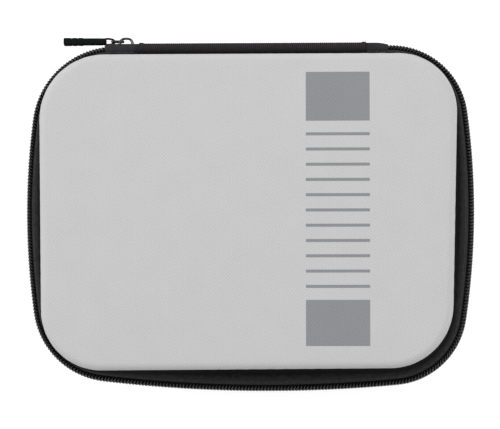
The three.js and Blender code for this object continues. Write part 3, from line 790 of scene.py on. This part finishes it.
def panel_fabric(half):
    """The flat panel with a rounded edge, drawn in slightly along its seam."""
    rings = [edge_ring(half, COVER, degrees) for degrees in (90, 60, 34)]
    rings.append(edge_ring(half, 0.55, 14))
    for degrees in (13, 20, 29, 40, 52, 64, 77, 90):
        pucker = 0.05 * math.cos(math.radians(degrees))
        rings.append(ripple(edge_ring(half, 0, degrees), pucker, 7.5, 0.5))
    for scale in np.linspace(0.97, 0.03, 22):
        ring = panel_ring(half, 0, scale)
        wave = np.sin(ring[:, 0] / 31 + 0.8) * np.cos(ring[:, 1] / 27 - 0.4)
        ring[:, 2] += half["up"] * half["crown"] * 0.10 * wave * (1 - scale**2)
        rings.append(ring)
    rings = [panel_ring(half, COVER, 0.03), panel_ring(half, COVER, 0.5)] + rings
    cloth = PANEL_CLOTH if half is LID else UNDERSIDE
    on_half(dish, half, "panel_cloth", rings, cloth, "panel_fabric", plan=True)


def piping(half):
    """A thin cord in the seam between wall and panel."""
    middle = lift(half, seam_height(half) + 0.25)
    rings = [at(outline_ring(PANEL, PIPING_INSET - PIPING_RADIUS * cos), middle + PIPING_RADIUS * sin)
             for cos, sin in zip(*circle(10))]
    on_half(hoop, half, "seam_piping", rings, TRIM_CLOTH, "piping")


def moulding(half, suffix, outer, inner, look, node):
    """A moulded tray between two depths below the wall's outer surface."""

    def skin(depth):
        """The surface this far below the outside, from the rim to the middle of the panel."""
        walls = [height for height in SHELL_HEIGHTS if height < seam_height(half) - depth - 0.6]
        rings = [wall_ring(half, depth, height) for height in walls]
        rings += [edge_ring(half, depth, degrees) for degrees in (0, 18, 36, 54, 72, 90)]
        return rings + [panel_ring(half, depth, scale) for scale in (0.8, 0.6, 0.4, 0.2, 0.04)]

    rings = skin(outer)[::-1] + skin(inner)
    on_half(dish, half, suffix, rings, look, node)


def binding(half):
    """Folded tape that covers the raw edges inside the rim."""
    rings = [ripple(zip_ring(half, *place), 0.05, 5.0, index)
             for index, place in enumerate(BINDING_SECTION)]
    on_half(hoop, half, "rim_binding", rings, TRIM_CLOTH, "binding")


def hem_stitches(half):
    """A row of separate stitches round the hem, each a short arched thread."""
    line = wall_ring(half, -0.05, 6.9)
    line = np.concatenate([line, line[:1]])
    lift_by = np.array([0.0, 0.0, 0.10 * half["up"]])
    distance = steps_along(line, False)
    total = distance[-1]
    lines = []
    start = STITCH_GAP / 2
    while start + STITCH_LENGTH < total:
        at_points = start + STITCH_LENGTH * np.linspace(0, 1, 5)
        thread = np.column_stack([np.interp(at_points, distance, line[:, k]) for k in range(3)])
        arch = np.sin(np.linspace(0, math.pi, 5))[:, None]
        lines.append(thread + arch * lift_by)
        start += STITCH_LENGTH + STITCH_GAP
    guide = lift_by / np.linalg.norm(lift_by)
    points, faces, corners = merged_tubes(lines, STITCH_RADIUS, 5, guide)
    add_mesh(half["word"] + "_hem_stitches", points, faces, half["word"], STITCHING, (), corners)


# ---- zip ----

# Sections of the zip's bands: inset from the zip line and height from the zip plane.
CORE_SECTION = ((0.42, 1.5), (0.6, 2.15), (1.2, 2.5), (1.9, 2.2), (2.5, 1.8), (2.5, 1.2), (1.9, 0.9),
                (1.2, 0.7), (0.6, 0.9))
TAPE_SECTION = ((2.35, 0.85), (2.3, 2.6), (2.4, 3.6), (2.75, 4.3), (3.1, 4.45), (3.1, 3.6),
                (2.95, 2.6), (2.9, 0.85))
COVER_SECTION = ((3.4, 5.7), (2.2, 5.6), (1.1, 5.3), (0.2, 4.85), (-0.4, 4.4), (-0.7, 4.0),
                 (-0.6, 3.72), (-0.2, 3.75), (0.5, 4.05), (1.3, 4.5), (2.2, 4.65), (3.4, 4.8))
COIL_WIRE_RADIUS = 0.40
THREAD_RADIUS = 0.15
COVER_TURN = (97, 90)
COVER_TUCK = (0.8, 4)
COVER_RIGHT_TUCK = (0.9, 6)
COVER_LEFT_STEPS = 12
COVER_RIGHT_STEPS = 16


def chain_line(half, inset):
    """The chain at one inset: from beside the slider round to the stop by the spine."""
    ring = outline_ring(ZIP, inset)[: CHAIN_LAST + 1]
    end = np.array([[CHAIN_END_X, BACK_Y - inset]])
    if half is BASE:
        return np.concatenate([[[BASE_CHAIN_START_X, BACK_Y - inset]], ring, end])
    radius = BACK_LEFT_RADIUS - inset
    start = SLIDER_CENTRE + radius * np.array([math.cos(LID_CHAIN_START), math.sin(LID_CHAIN_START)])
    later = [point for index, point in enumerate(ring)
             if index > CORNER_STEPS or point[0] < start[0] - 0.2]
    return np.concatenate([[start], later, end])


def even_line(line, spacing):
    """The same line with evenly spaced points."""
    distance = steps_along(line, False)
    count = int(distance[-1] / spacing)
    places = np.arange(count + 1) * spacing
    return np.column_stack([np.interp(places, distance, line[:, k]) for k in range(line.shape[1])])


def helix(half, middle, radial, middle_height, rise, offset, steps):
    """A flattened spiral round the chain, with one turn for each tooth and a direction to follow."""
    line = even_line(chain_line(half, middle), COIL_PITCH / steps)
    along = unit(np.gradient(line, axis=0))
    turn = 2 * math.pi * (np.arange(len(line)) / steps + offset)
    flat = line + outward_of(along) * (radial * np.cos(turn))[:, None]
    height = middle_height + rise * np.sin(turn)
    points = np.column_stack([flat, ZIP_PLANE + half["up"] * height])
    guide = np.column_stack([along, np.zeros(len(along))])
    return points, guide


def zip_band(half, suffix, section, node=""):
    """A woven band that runs along the chain."""
    rails = [at(chain_line(half, inset), lift(half, height)) for inset, height in section]
    on_half(strip, half, suffix, rails, TAPE_CLOTH, node)


def zip_half(half):
    """One half of the chain: coil, the woven core in it, its stitching and its tape."""
    word = half["word"]
    offset = 0.0 if half is LID else 0.5
    points, guide = helix(half, 1.05, 0.64, 1.54, 1.16, offset, 12)
    tube(word + "_coil_teeth", points, COIL_WIRE_RADIUS, 8, guide, word, COIL_NYLON, [word + "_zip_coil"])
    zip_band(half, "coil_core", CORE_SECTION)
    points, guide = helix(half, 1.72, 0.60, 2.2, 1.02, offset + 0.25, 8)
    tube(word + "_coil_stitching", points, THREAD_RADIUS, 5, guide, word, COIL_THREAD)
    zip_band(half, "zip_tape_cloth", TAPE_SECTION, "zip_tape")


def chain_covers():
    """Cloth tabs on the lid that reach over the chain at both ends of the spine."""
    turns = np.radians(np.linspace(*COVER_TURN, 9))
    left = []
    right = []
    for inset, height in COVER_SECTION:
        reach = BACK_LEFT_RADIUS - inset
        bend = SLIDER_CENTRE + reach * np.column_stack([np.cos(turns), np.sin(turns)])
        xs = np.linspace(SLIDER_CENTRE[0] + 1, STRIP_LOW[0] + 0.6, COVER_LEFT_STEPS)
        straight = np.column_stack([xs, np.full(COVER_LEFT_STEPS, BACK_Y - inset)])
        line = np.concatenate([bend, straight])
        depth, run = COVER_TUCK
        tuck = np.clip((line[:, 0] - line[0, 0]) / run, 0, 1)
        line[:, 1] -= depth * (1 - tuck) ** 2 * (inset < 1)
        left.append(at(line, lift(LID, height)))
        xs = np.linspace(STRIP_HIGH[0] - 0.4, CHAIN_END_X + 6, COVER_RIGHT_STEPS)
        depth, run = COVER_RIGHT_TUCK
        tuck = np.clip((xs[-1] - xs) / run, 0, 1)
        ys = BACK_Y - inset - depth * (1 - tuck) ** 2 * (inset < 1)
        right.append(at(np.column_stack([xs, ys]), lift(LID, height)))
    strip("lid_chain_cover_left", left, "lid", SIDE_CLOTH)
    strip("lid_chain_cover_right", right, "lid", SIDE_CLOTH)


# ---- spine ----

END_HEM = 2.2
END_RISE = 0.35
RIB_DEPTH = 0.16
WEBBING_THICKNESS = 0.9
PLAIN_BAND_STEPS = 60

# Two places on each band near the fold: y and height from the zip plane.
WEBBING_BEND = ((80.0, 3.0), (80.0, 9.0))
GUSSET_BEND = ((77.2, 0.4), (74.4, 3.4))

# The lining that folds away inside the spine: y and height from the zip plane.
GUSSET_SECTION = ((77.6, 0.0), (77.6, 1.8), (77.0, 3.0), (75.6, 3.5), (74.2, 3.1), (73.7, 2.2),
                  (73.9, 1.9), (74.6, 2.5), (75.6, 2.8), (76.5, 2.4), (76.9, 1.5), (76.9, 0.0))


def spine_band(half, name, section, look, nodes, left, right, ribs, start, end):
    """A ribbed band from the middle of the spine to one half."""
    count = int((right - left) / (RIB_PITCH / 2)) if ribs else PLAIN_BAND_STEPS
    xs = np.linspace(left, right, count + 1)
    rails = []
    centre = np.mean(section, axis=0)
    for y, height in section:
        wave = np.where(np.arange(count + 1) % 2 == 0, ribs, 0.0)
        toward = max(np.sign(y - centre[0]), 0.0) if ribs else 0.0
        to_end = np.minimum(xs - left, right - xs)
        rise = END_RISE * np.clip((END_HEM - to_end) / 0.4, 0, 1)
        ys = y + (rise - wave) * toward
        rails.append(np.column_stack([xs, ys, np.full(count + 1, lift(half, height))]))
    piece = strip(name, rails, None, look, nodes)
    first = Vector((0, start[0] * MM, lift(half, start[1]) * MM))
    last = Vector((0, end[0] * MM, lift(half, end[1]) * MM))
    if half is BASE:
        first, last = last, first
    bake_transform(piece)
    return piece


def webbing_section():
    """The webbing from the zip plane up the wall and over onto the panel's edge."""
    outer = [(STRIP_HIGH[1], 0.0), (STRIP_HIGH[1], 3.0), (STRIP_HIGH[1] - 0.05, 5.4)]
    top = FLAP_TOP - ZIP_PLANE
    for t in np.linspace(0.08, 1, 9):
        y = STRIP_HIGH[1] - 0.1 + (PANEL_BACK_Y + 1.3 - STRIP_HIGH[1] + 0.1) * (1 - (1 - t) ** 1.4)
        outer.append((y, 6 + (top - 6) * t))
    inner = [(y - WEBBING_THICKNESS, height) for y, height in outer[::-1]]
    return outer + inner


def spine():
    """The webbing and the lining gusset, each in two parts that meet at the zip plane."""
    nodes = {"lid": ["lid_spine_flap", "spine_strip"], "base": ["base_spine_flap"]}
    left, right = STRIP_LOW[0], STRIP_HIGH[0]
    for half in (LID, BASE):
        word = half["word"]
        spine_band(half, word + "_spine_webbing", webbing_section(), WEBBING, nodes[word],
                   left, right, RIB_DEPTH, *WEBBING_BEND)
        spine_band(half, word + "_spine_gusset", GUSSET_SECTION, KNIT,
                   ["spine_lining"] if half is LID else [], left + 0.5, right - 0.5, 0,
                   *GUSSET_BEND)


# ---- slider and pull ----

# Slider pieces: name, section (inner and outer distance from the zip line, start and end in
# degrees, steps), half its height, nodes and rounding.
SLIDER_PIECES = (
    ("slider_front_plate", (0.35, 0.85, -14.4, -0.4, 14), 3.2, ["slider_body"], 0.2),
    ("slider_neck", (-4.0, 0.45, -10, -4.5, 6), 0.3, (), 0.1),
    ("slider_back_plate", (-4.7, -3.9, -11.5, -1, 12), 2.3, (), 0.25),
)
LIP_SECTION = (-0.1, 0.5, -13.6, -1.2, 12)
LIP_HEIGHTS = (3.0, 3.45)
CROWN_WIRE = 0.54
CROWN_LEG = 3.2
CROWN_RISE = 0.3
CROWN_SQUARENESS = (0.75, 0.8)
LINK_WIRE = 0.45
LINK_INSET = 0.42
LINK_BEND = 1.1
CORD_RADIUS = 0.5
CORD_HALF_WIDTH = 1.4
CORD_REACH = 2.5
GRIP_RIB_PITCH = 0.95
GRIP_TAIL_START = 0.50
GRIP_GROOVES = (0.53, 0.67, 0.81)
GRIP_GROOVE_WIDTH = 0.3
GRIP_SQUARENESS = 0.55
GRIP_SIDES = 28


def sector_points(inner, outer, start, end, steps):
    """An outline between two distances outside the zip line, round the slider's turning centre."""
    turns = np.radians(90 + np.linspace(start, end, steps))
    ring = np.column_stack([np.cos(turns), np.sin(turns)])
    far = ring * (BACK_LEFT_RADIUS + outer)
    near = ring[::-1] * (BACK_LEFT_RADIUS + inner)
    return SLIDER_CENTRE + np.concatenate([far, near])


def block(name, outline, low, high, body, nodes=(), round_by=0.2):
    """A metal piece with upright sides and rounded edges."""
    piece = dish(name, [at(outline, low), at(outline, high)], body, DARK_METAL, nodes)
    bevel(piece, round_by)
    return piece


def slider():
    """Two plates and the neck between them, the lips round the chain, and the crown."""
    for name, section, reach, nodes, round_by in SLIDER_PIECES:
        outline = sector_points(*section)
        block(name, outline, ZIP_PLANE - reach, ZIP_PLANE + reach, "slider", nodes, round_by)
    for word, side in (("upper", 1), ("lower", -1)):
        heights = sorted(ZIP_PLANE + side * height for height in LIP_HEIGHTS)
        block("slider_lip_" + word, sector_points(*LIP_SECTION), *heights, "slider", (), 0.1)
    crown()


def power(values, exponent):
    """A power that keeps the sign, to square off a circle."""
    return np.sign(values) * np.abs(values) ** exponent


def crown():
    """The arch that the pull's link hangs in."""
    middle = (CROWN_LOW + CROWN_HIGH) / 2
    reach = (CROWN_HIGH[0] - CROWN_LOW[0]) / 2 - CROWN_WIRE
    foot_y = CROWN_HIGH[1] - CROWN_LEG
    top_y = CROWN_HIGH[1] + CROWN_RISE - CROWN_WIRE
    turns = np.linspace(0, math.pi, 29)
    x = middle[0] + reach * power(np.cos(turns), CROWN_SQUARENESS[0])
    y = foot_y + (top_y - foot_y) * power(np.sin(turns), CROWN_SQUARENESS[1])
    y -= (foot_y - CROWN_LOW[1]) * np.clip(np.cos(turns), 0, 1) ** 6
    line = np.column_stack([x, y, np.full(len(turns), middle[2])])
    spokes = tube_rings(line, 1.0, 12, (0, 0, 1)) - line[:, None]
    half_width = (CROWN_HIGH[2] - CROWN_LOW[2]) / 2
    foot = 1 + 0.3 * np.abs(np.cos(turns)) ** 3
    rings = line[:, None] + spokes * np.array([CROWN_WIRE, CROWN_WIRE, half_width]) * foot[:, None, None]
    dish("slider_crown_arch", rings, "slider", DARK_METAL, ["slider_crown"])


def rounded_loop(half_long, half_wide, radius, steps):
    """A rounded rectangle about the origin, as a closed line."""
    points = []
    for turn, (sx, sy) in enumerate(((1, 1), (-1, 1), (-1, -1), (1, -1))):
        angles = math.pi / 2 * (turn + np.linspace(0, 1, steps))
        centre = np.array([sx * (half_long - radius), sy * (half_wide - radius)])
        points.append(centre + radius * np.column_stack([np.cos(angles), np.sin(angles)]))
    return np.concatenate(points)


def pull():
    """The wire link, and the cord and grip that hang from it."""
    middle = (LINK_LOW + LINK_HIGH) / 2
    half_long = (LINK_HIGH[0] - LINK_LOW[0]) / 2 - LINK_INSET
    half_wide = (LINK_HIGH[2] - LINK_LOW[2]) / 2 - LINK_INSET
    loop = rounded_loop(half_long, half_wide, LINK_BEND, 7)
    line = middle + np.insert(loop, 1, 0, axis=1)
    outward = unit(loop)
    rings = [line + LINK_WIRE * np.insert(outward * cos, 1, sin, axis=1) for cos, sin in zip(*circle(10))]
    hoop("pull_wire_link", rings, "link", DARK_METAL, ["pull_link"])
    cord_loop(middle)
    grip(middle)


def cord_loop(middle):
    """The cord that joins the moulded grip to the wire link."""
    bar = LINK_LOW[0] + LINK_INSET
    start = GRIP_HIGH[0] + 0.3
    turn = bar + CORD_REACH
    ts = np.linspace(0, 1, 25)
    x = start + (turn - start) * 3 * ts * (1 - ts)
    y = CORD_HALF_WIDTH * ((1 - ts) ** 3 + 3 * (1 - ts) ** 2 * ts - 3 * (1 - ts) * ts**2 - ts**3)
    x = np.concatenate([[start - 2, start - 1], x, [start - 1, start - 2]])
    y = np.concatenate([[1.1, 1.2], y, [-1.2, -1.1]])
    line = np.column_stack([x, middle[1] + y, np.full(len(x), middle[2])])
    piece = tube("pull_cord_loop", line, CORD_RADIUS, 10, (0, 0, 1), None, CORD_BRAID, ["pull_cord"])
    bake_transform(piece)


def grip(middle):
    """Moulded sleeve: a ribbed barrel, then a thicker tail cut by three grooves."""
    nose = GRIP_HIGH[0] + 0.15
    length = nose - GRIP_LOW[0] + 0.3
    share = np.linspace(0, 1, 150)
    x = nose - share * length
    tail = np.clip((share - GRIP_TAIL_START) / 0.04, 0, 1)
    thick = 1.60 + 0.20 * tail
    wide = 2.3 + 1.0 * share
    ribs = np.sin(2 * math.pi * x / GRIP_RIB_PITCH) * (1 - tail)
    thick += 0.035 * ribs
    wide += 0.05 * ribs
    for centre in GRIP_GROOVES:
        notch = np.exp(-(((share - centre) * length / GRIP_GROOVE_WIDTH) ** 2))
        thick -= 0.24 * notch
        wide -= 0.26 * notch
    head = np.clip(share * length / 2.6, 0, 1)
    tip = np.clip((1 - share) * length / 0.5, 0, 1)
    soft = (0.42 + 0.58 * np.sqrt(1 - (1 - head) ** 2)) * (0.82 + 0.18 * np.sqrt(1 - (1 - tip) ** 2))
    cos, sin = (power(part, GRIP_SQUARENESS) for part in circle(GRIP_SIDES))
    rings = [np.column_stack([np.full(GRIP_SIDES, place), middle[1] + high * cos, middle[2] + across * sin])
             for place, high, across in zip(x, thick * soft, wide * soft)]
    dish("pull_moulded_grip", rings, "pull", GRIP_RUBBER, ["pull_grip"])


def stops():
    """The box at one end of the zip and the clip at the other."""
    middle = sum(node_box("zip_start_stop")) / 2
    loop = rounded_loop(1.6, 1.85, 0.5, 4) + middle[:2]
    block("zip_start_box", loop, ZIP_PLANE - 2.7, ZIP_PLANE + 2.7, "base", ["zip_start_stop"], 0.35)
    low, high = node_box("zip_end_stop")
    loop = rounded_loop(0.8, 0.75, 0.35, 4) + (low + high)[:2] / 2
    block("zip_end_clip", loop, low[2], high[2], "base", ["zip_end_stop"], 0.15)


# ---- inside ----

# Bays in the foam: left, right, front, back and corner radius.
DEVICE_BAY = (-80, 24, -34, 50, 9)
TRIPOD_BAY = (36, 76, -52, 52, 9)
CABLE_BAY = (-76, 24, -60, -49, 5)
SCOOP_RADIUS = 9
FOAM_ROUNDING = 0.7
NET_CELL = 2.7
NET_THREAD_RADIUS = 0.26
NET_ZIGZAG = 0.12
NET_WAVE = 0.14

# The pocket's taped edge: depth below the wall from the lining, and height from the net.
TAPE_EDGE = LINING_IN + 0.35
TAPE_EDGE_SECTION = ((0, -1.1), (0.15, 1.1), (0.8, 1.3), (1.5, 0.9), (1.9, 0.1), (1.5, -0.9), (0.8, -1.3))


def bay_outline(left, right, front, back, radius):
    loop = rounded_loop((right - left) / 2, (back - front) / 2, radius, 9)
    return loop + np.array([(left + right) / 2, (front + back) / 2])


def device_bay_outline():
    """The device bay with a finger scoop in its back and front edges."""
    left, right, front, back = DEVICE_BAY[:4]
    middle = (left + right) / 2
    loop = bay_outline(*DEVICE_BAY)
    turns = np.linspace(0, math.pi, 17)
    top = np.column_stack([middle + SCOOP_RADIUS * np.cos(turns), back + SCOOP_RADIUS * np.sin(turns)])
    low = np.column_stack([middle - SCOOP_RADIUS * np.cos(turns), front - SCOOP_RADIUS * np.sin(turns)])
    return np.concatenate([loop[:9], top, loop[9:27], low, loop[27:]])


def filled_plate(name, loops, low, high, round_by):
    """A flat plate with holes and rounded edges, from closed loops; the first is the outside."""
    curve = bpy.data.curves.new(name, "CURVE")
    curve.dimensions = "2D"
    curve.fill_mode = "BOTH"
    curve.extrude = (high - low) / 2 * MM - round_by * MM
    curve.bevel_depth = round_by * MM
    curve.bevel_resolution = 2
    curve.offset = -round_by * MM
    for loop in loops:
        spline = curve.splines.new("POLY")
        spline.points.add(len(loop) - 1)
        for point, place in zip(spline.points, loop):
            point.co = (place[0] * MM, place[1] * MM, 0, 1)
        spline.use_cyclic_u = True
    source = new_object(name + "_curve", curve)
    bpy.context.view_layer.update()
    mesh = bpy.data.meshes.new_from_object(source)
    bpy.data.objects.remove(source)
    points = np.array([v.co for v in mesh.vertices]) / MM
    points[:, 2] += (low + high) / 2
    faces = [tuple(p.vertices) for p in mesh.polygons]
    corners = [points[k, :2] for face in faces for k in face]
    return points, faces, corners


def follow_wall(points, top, ring_at):
    """Moves the points of a block's outer edge so that it leans with the wall at each height."""
    for index, point in enumerate(points):
        apart = np.hypot(*(top - point[:2]).T)
        nearest = int(np.argmin(apart))
        if apart[nearest] < 1.2:
            points[index, :2] += ring_at(point[2])[nearest] - top[nearest]
    return points


def foam_cut_layer():
    """The upper foam layer, with its bays and edges that follow the leaning wall."""
    depth = LINING_IN + 0.9
    low, high = FOAM_LOW[2], FOAM_HIGH[2]
    rings = {}

    def ring_at(z):
        key = round(z, 1)
        if key not in rings:
            rings[key] = wall_outline(BASE, depth, ZIP_PLANE - z)
        return rings[key]

    top = ring_at(high)
    loops = [top, device_bay_outline(), bay_outline(*TRIPOD_BAY), bay_outline(*CABLE_BAY)]
    points, faces, corners = filled_plate("foam", loops, low, high, FOAM_ROUNDING)
    points = follow_wall(points, top, ring_at)
    piece = add_mesh("foam_insert_cut_layer", points, faces, "base", INSERT_FOAM, ["foam_top_layer"], corners)
    face_outward(piece.data, merge=0.01)
    piece.data.set_sharp_from_angle(angle=math.radians(40))


def foam_floor():
    """The lower foam layer, a plain block under the bays."""
    low, high = node_box("foam_bottom_layer")
    ring = outline_ring(PANEL, LINING_IN + EDGE_FILLET + 0.2)
    levels = [(0.03, low[2]), (0.5, low[2]), (1.0, low[2]), (None, high[2] - 0.4),
              (0.99, high[2]), (0.5, high[2]), (0.03, high[2])]
    rings = [at(ring if scale is None else (ring - PANEL_CENTRE) * scale + PANEL_CENTRE, z)
             for scale, z in levels]
    floor = dish("foam_insert_floor", rings, "base", INSERT_FOAM, ["foam_bottom_layer"], plan=True)


def three_sides(ring):
    """The part of a ring along the right side, the back and the left side."""
    return np.concatenate([ring[RIGHT_SIDE_FRONT:], ring[: LEFT_SIDE_FRONT + 1]])


def net_pocket():
    """Knitted net held by a taped edge on three sides and an elastic hem on the fourth."""
    middle = (NET_LOW[2] + NET_HIGH[2]) / 2
    height = middle - ZIP_PLANE
    edge = three_sides(wall_outline(LID, LINING_IN + 2.3, height))
    cloth = net(edge, middle)
    rails = [at(three_sides(wall_outline(LID, TAPE_EDGE + depth, height)), middle + rise)
             for depth, rise in TAPE_EDGE_SECTION]
    tape = strip("net_edge_tape", rails, "lid", TRIM_CLOTH, ["mesh_pocket_binding"])
    hem()


def net(edge, z):
    """Two crossing families of threads, clipped to the pocket's outline."""
    low = edge.min(0)
    high = edge.max(0)
    lines = []
    rise = high[1] - low[1]
    for slope in (1, -1):
        start = low[0] - rise - NET_CELL
        while start < high[0] + rise + NET_CELL:
            lines += clipped_thread(start, slope, edge, z)
            start += NET_CELL
    points, faces, corners = merged_tubes(lines, NET_THREAD_RADIUS, 5, (0, 0, 1))
    return add_mesh("pocket_net_mesh", points, faces, "lid", NET_THREAD, ["mesh_pocket_net"], corners)


def clipped_thread(start, slope, edge, z):
    """The parts of one slanting thread that lie inside the outline, with a slight zigzag."""
    low, high = edge[:, 1].min(), edge[:, 1].max()
    ys = np.arange(low, high, NET_CELL / 2)
    xs = start + slope * (ys - low)
    turn = ys / NET_CELL * 2 * math.pi
    zigzag = NET_ZIGZAG * np.sin(turn)
    line = np.column_stack([xs + zigzag, ys, z + slope * NET_WAVE * np.cos(turn)])
    keep = inside(line[:, :2], edge)
    cuts = np.flatnonzero(np.diff(keep)) + 1
    runs = zip(np.split(line, cuts), np.split(keep, cuts))
    return [run for run, kept in runs if kept[0] and len(run) > 1]


def inside(points, loop):
    """Which points lie inside a closed loop."""
    result = np.zeros(len(points), bool)
    for (x1, y1), (x2, y2) in zip(loop, np.roll(loop, -1, 0)):
        crosses = (y1 > points[:, 1]) != (y2 > points[:, 1])
        if not crosses.any():
            continue
        x = (x2 - x1) * (points[:, 1] - y1) / (y2 - y1 + 1e-12) + x1
        result ^= crosses & (points[:, 0] < x)
    return result


def hem():
    """Gathered elastic along the pocket's open edge."""
    xs = np.linspace(HEM_LOW[0], HEM_HIGH[0], 260)
    gather = 0.18 * np.sin(xs / 1.35) * (0.7 + 0.3 * np.sin(xs / 11))
    front, back = HEM_LOW[1], HEM_HIGH[1]
    middle = (HEM_LOW[2] + HEM_HIGH[2]) / 2
    half = (HEM_HIGH[2] - HEM_LOW[2]) / 2 - 0.15
    section = [(front + 0.3, -0.75), (front + 2.5, -1.0), (back - 1.8, -0.9), (back - 0.2, -0.5),
               (back, 0.0), (back - 0.2, 0.5), (back - 1.8, 0.9), (front + 2.5, 1.0), (front + 0.3, 0.75),
               (front, 0.0)]
    rails = []
    for y, rise in section:
        zs = middle + half * rise + gather * np.sign(rise) * (abs(rise) > 0.8)
        rails.append(np.column_stack([xs, np.full(len(xs), y), zs]))
    return strip("pocket_elastic_hem", rails, "lid", ELASTIC, ["mesh_pocket_hem"])


# ---- assembly ----


def build_half(half):
    moulding(half, "foam_shell", SHELL_OUT, SHELL_IN, SHELL_FOAM, "shell")
    moulding(half, "knit_lining", LINING_OUT, LINING_IN, KNIT, "lining")
    side_fabric(half)
    panel_fabric(half)
    piping(half)
    binding(half)
    hem_stitches(half)
    zip_half(half)


def build():
    """Every piece, in a fixed order."""
    build_half(BASE)
    build_half(LID)
    chain_covers()
    spine()
    slider()
    pull()
    stops()
    foam_cut_layer()
    foam_floor()
    net_pocket()


# ---- stage ----

FLOOR_HALF_SIZE = 6.0
FLOOR_GLOW = 0.9
WORLD_STRENGTH = 0.50

# Lamps: name, place and size in metres, watts.
LAMPS = (
    ("overhead", (0.35, 0.35, 1.7), 1.2, 13),
    ("key_left", (-1.3, 0.25, 0.55), 0.5, 9),
    ("sparkle", (0.9, 0.9, 1.2), 0.16, 7),
)
CAMERA_AIM = Vector((0, 1.17, 27))
CAMERA_DISTANCE = 1.4
CAMERA_LEAN_RIGHT = math.radians(2.3)
CAMERA_LEAN_FRONT = math.radians(4.0)
CAMERA_LENS = 219


def add_floor():
    """A white studio table that glows a little, as a lit backdrop does."""
    made = Shader("studio_floor", None, (0.25, 0.25, 0.25), 0.9, Specular_IOR_Level=0.0)
    grain = made.noise(made.place(), 30, 3)
    made.paint(made.mix(grain, (0.24, 0.24, 0.24), (0.26, 0.26, 0.26)))
    made.surface.inputs["Emission Color"].default_value = (1, 1, 1, 1)
    made.surface.inputs["Emission Strength"].default_value = FLOOR_GLOW
    mesh = bpy.data.meshes.new("floor")
    size = FLOOR_HALF_SIZE
    corners = [(x * size, y * size, 0) for x, y in ((-1, -1), (1, -1), (1, 1), (-1, 1))]
    mesh.from_pydata(corners, [], [(0, 1, 2, 3)])
    mesh.materials.append(made.material)
    new_object("floor", mesh)


def add_light(name, place, size, watts):
    """A round lamp that points at the origin; its place and size are in metres."""
    data = bpy.data.lights.new(name, "AREA")
    data.shape = "DISK"
    data.size = size
    data.energy = watts
    light = new_object(name, data)
    light.location = place
    light.rotation_euler = (-Vector(place)).to_track_quat("-Z", "Y").to_euler()


def add_world(strength):
    """Even white light from everywhere."""
    world = bpy.data.worlds.new("studio")
    bpy.context.scene.world = world
    world.use_nodes = True
    background = world.node_tree.nodes["Background"]
    background.inputs["Color"].default_value = (1, 1, 1, 1)
    background.inputs["Strength"].default_value = strength


def add_camera():
    """Nearly straight above the case, with the hinge at the top of the picture."""
    away = Vector((math.sin(CAMERA_LEAN_RIGHT), -math.sin(CAMERA_LEAN_FRONT), 0))
    away.z = math.sqrt(1 - away.x**2 - away.y**2)
    right = Vector((0, 1, 0)).cross(away).normalized()
    up = away.cross(right)
    data = bpy.data.cameras.new("camera")
    data.sensor_width = 36
    data.lens = CAMERA_LENS
    data.clip_end = 20
    camera = new_object("camera", data)
    rotation = Matrix((right, up, away)).transposed().to_4x4()
    camera.matrix_world = Matrix.Translation(CAMERA_AIM * MM + away * CAMERA_DISTANCE) @ rotation
    bpy.context.scene.camera = camera


add_camera()
build()
add_floor()
add_world(WORLD_STRENGTH)
for lamp in LAMPS:
    add_light(*lamp)
bpy.context.scene.view_settings.view_transform = "Standard"
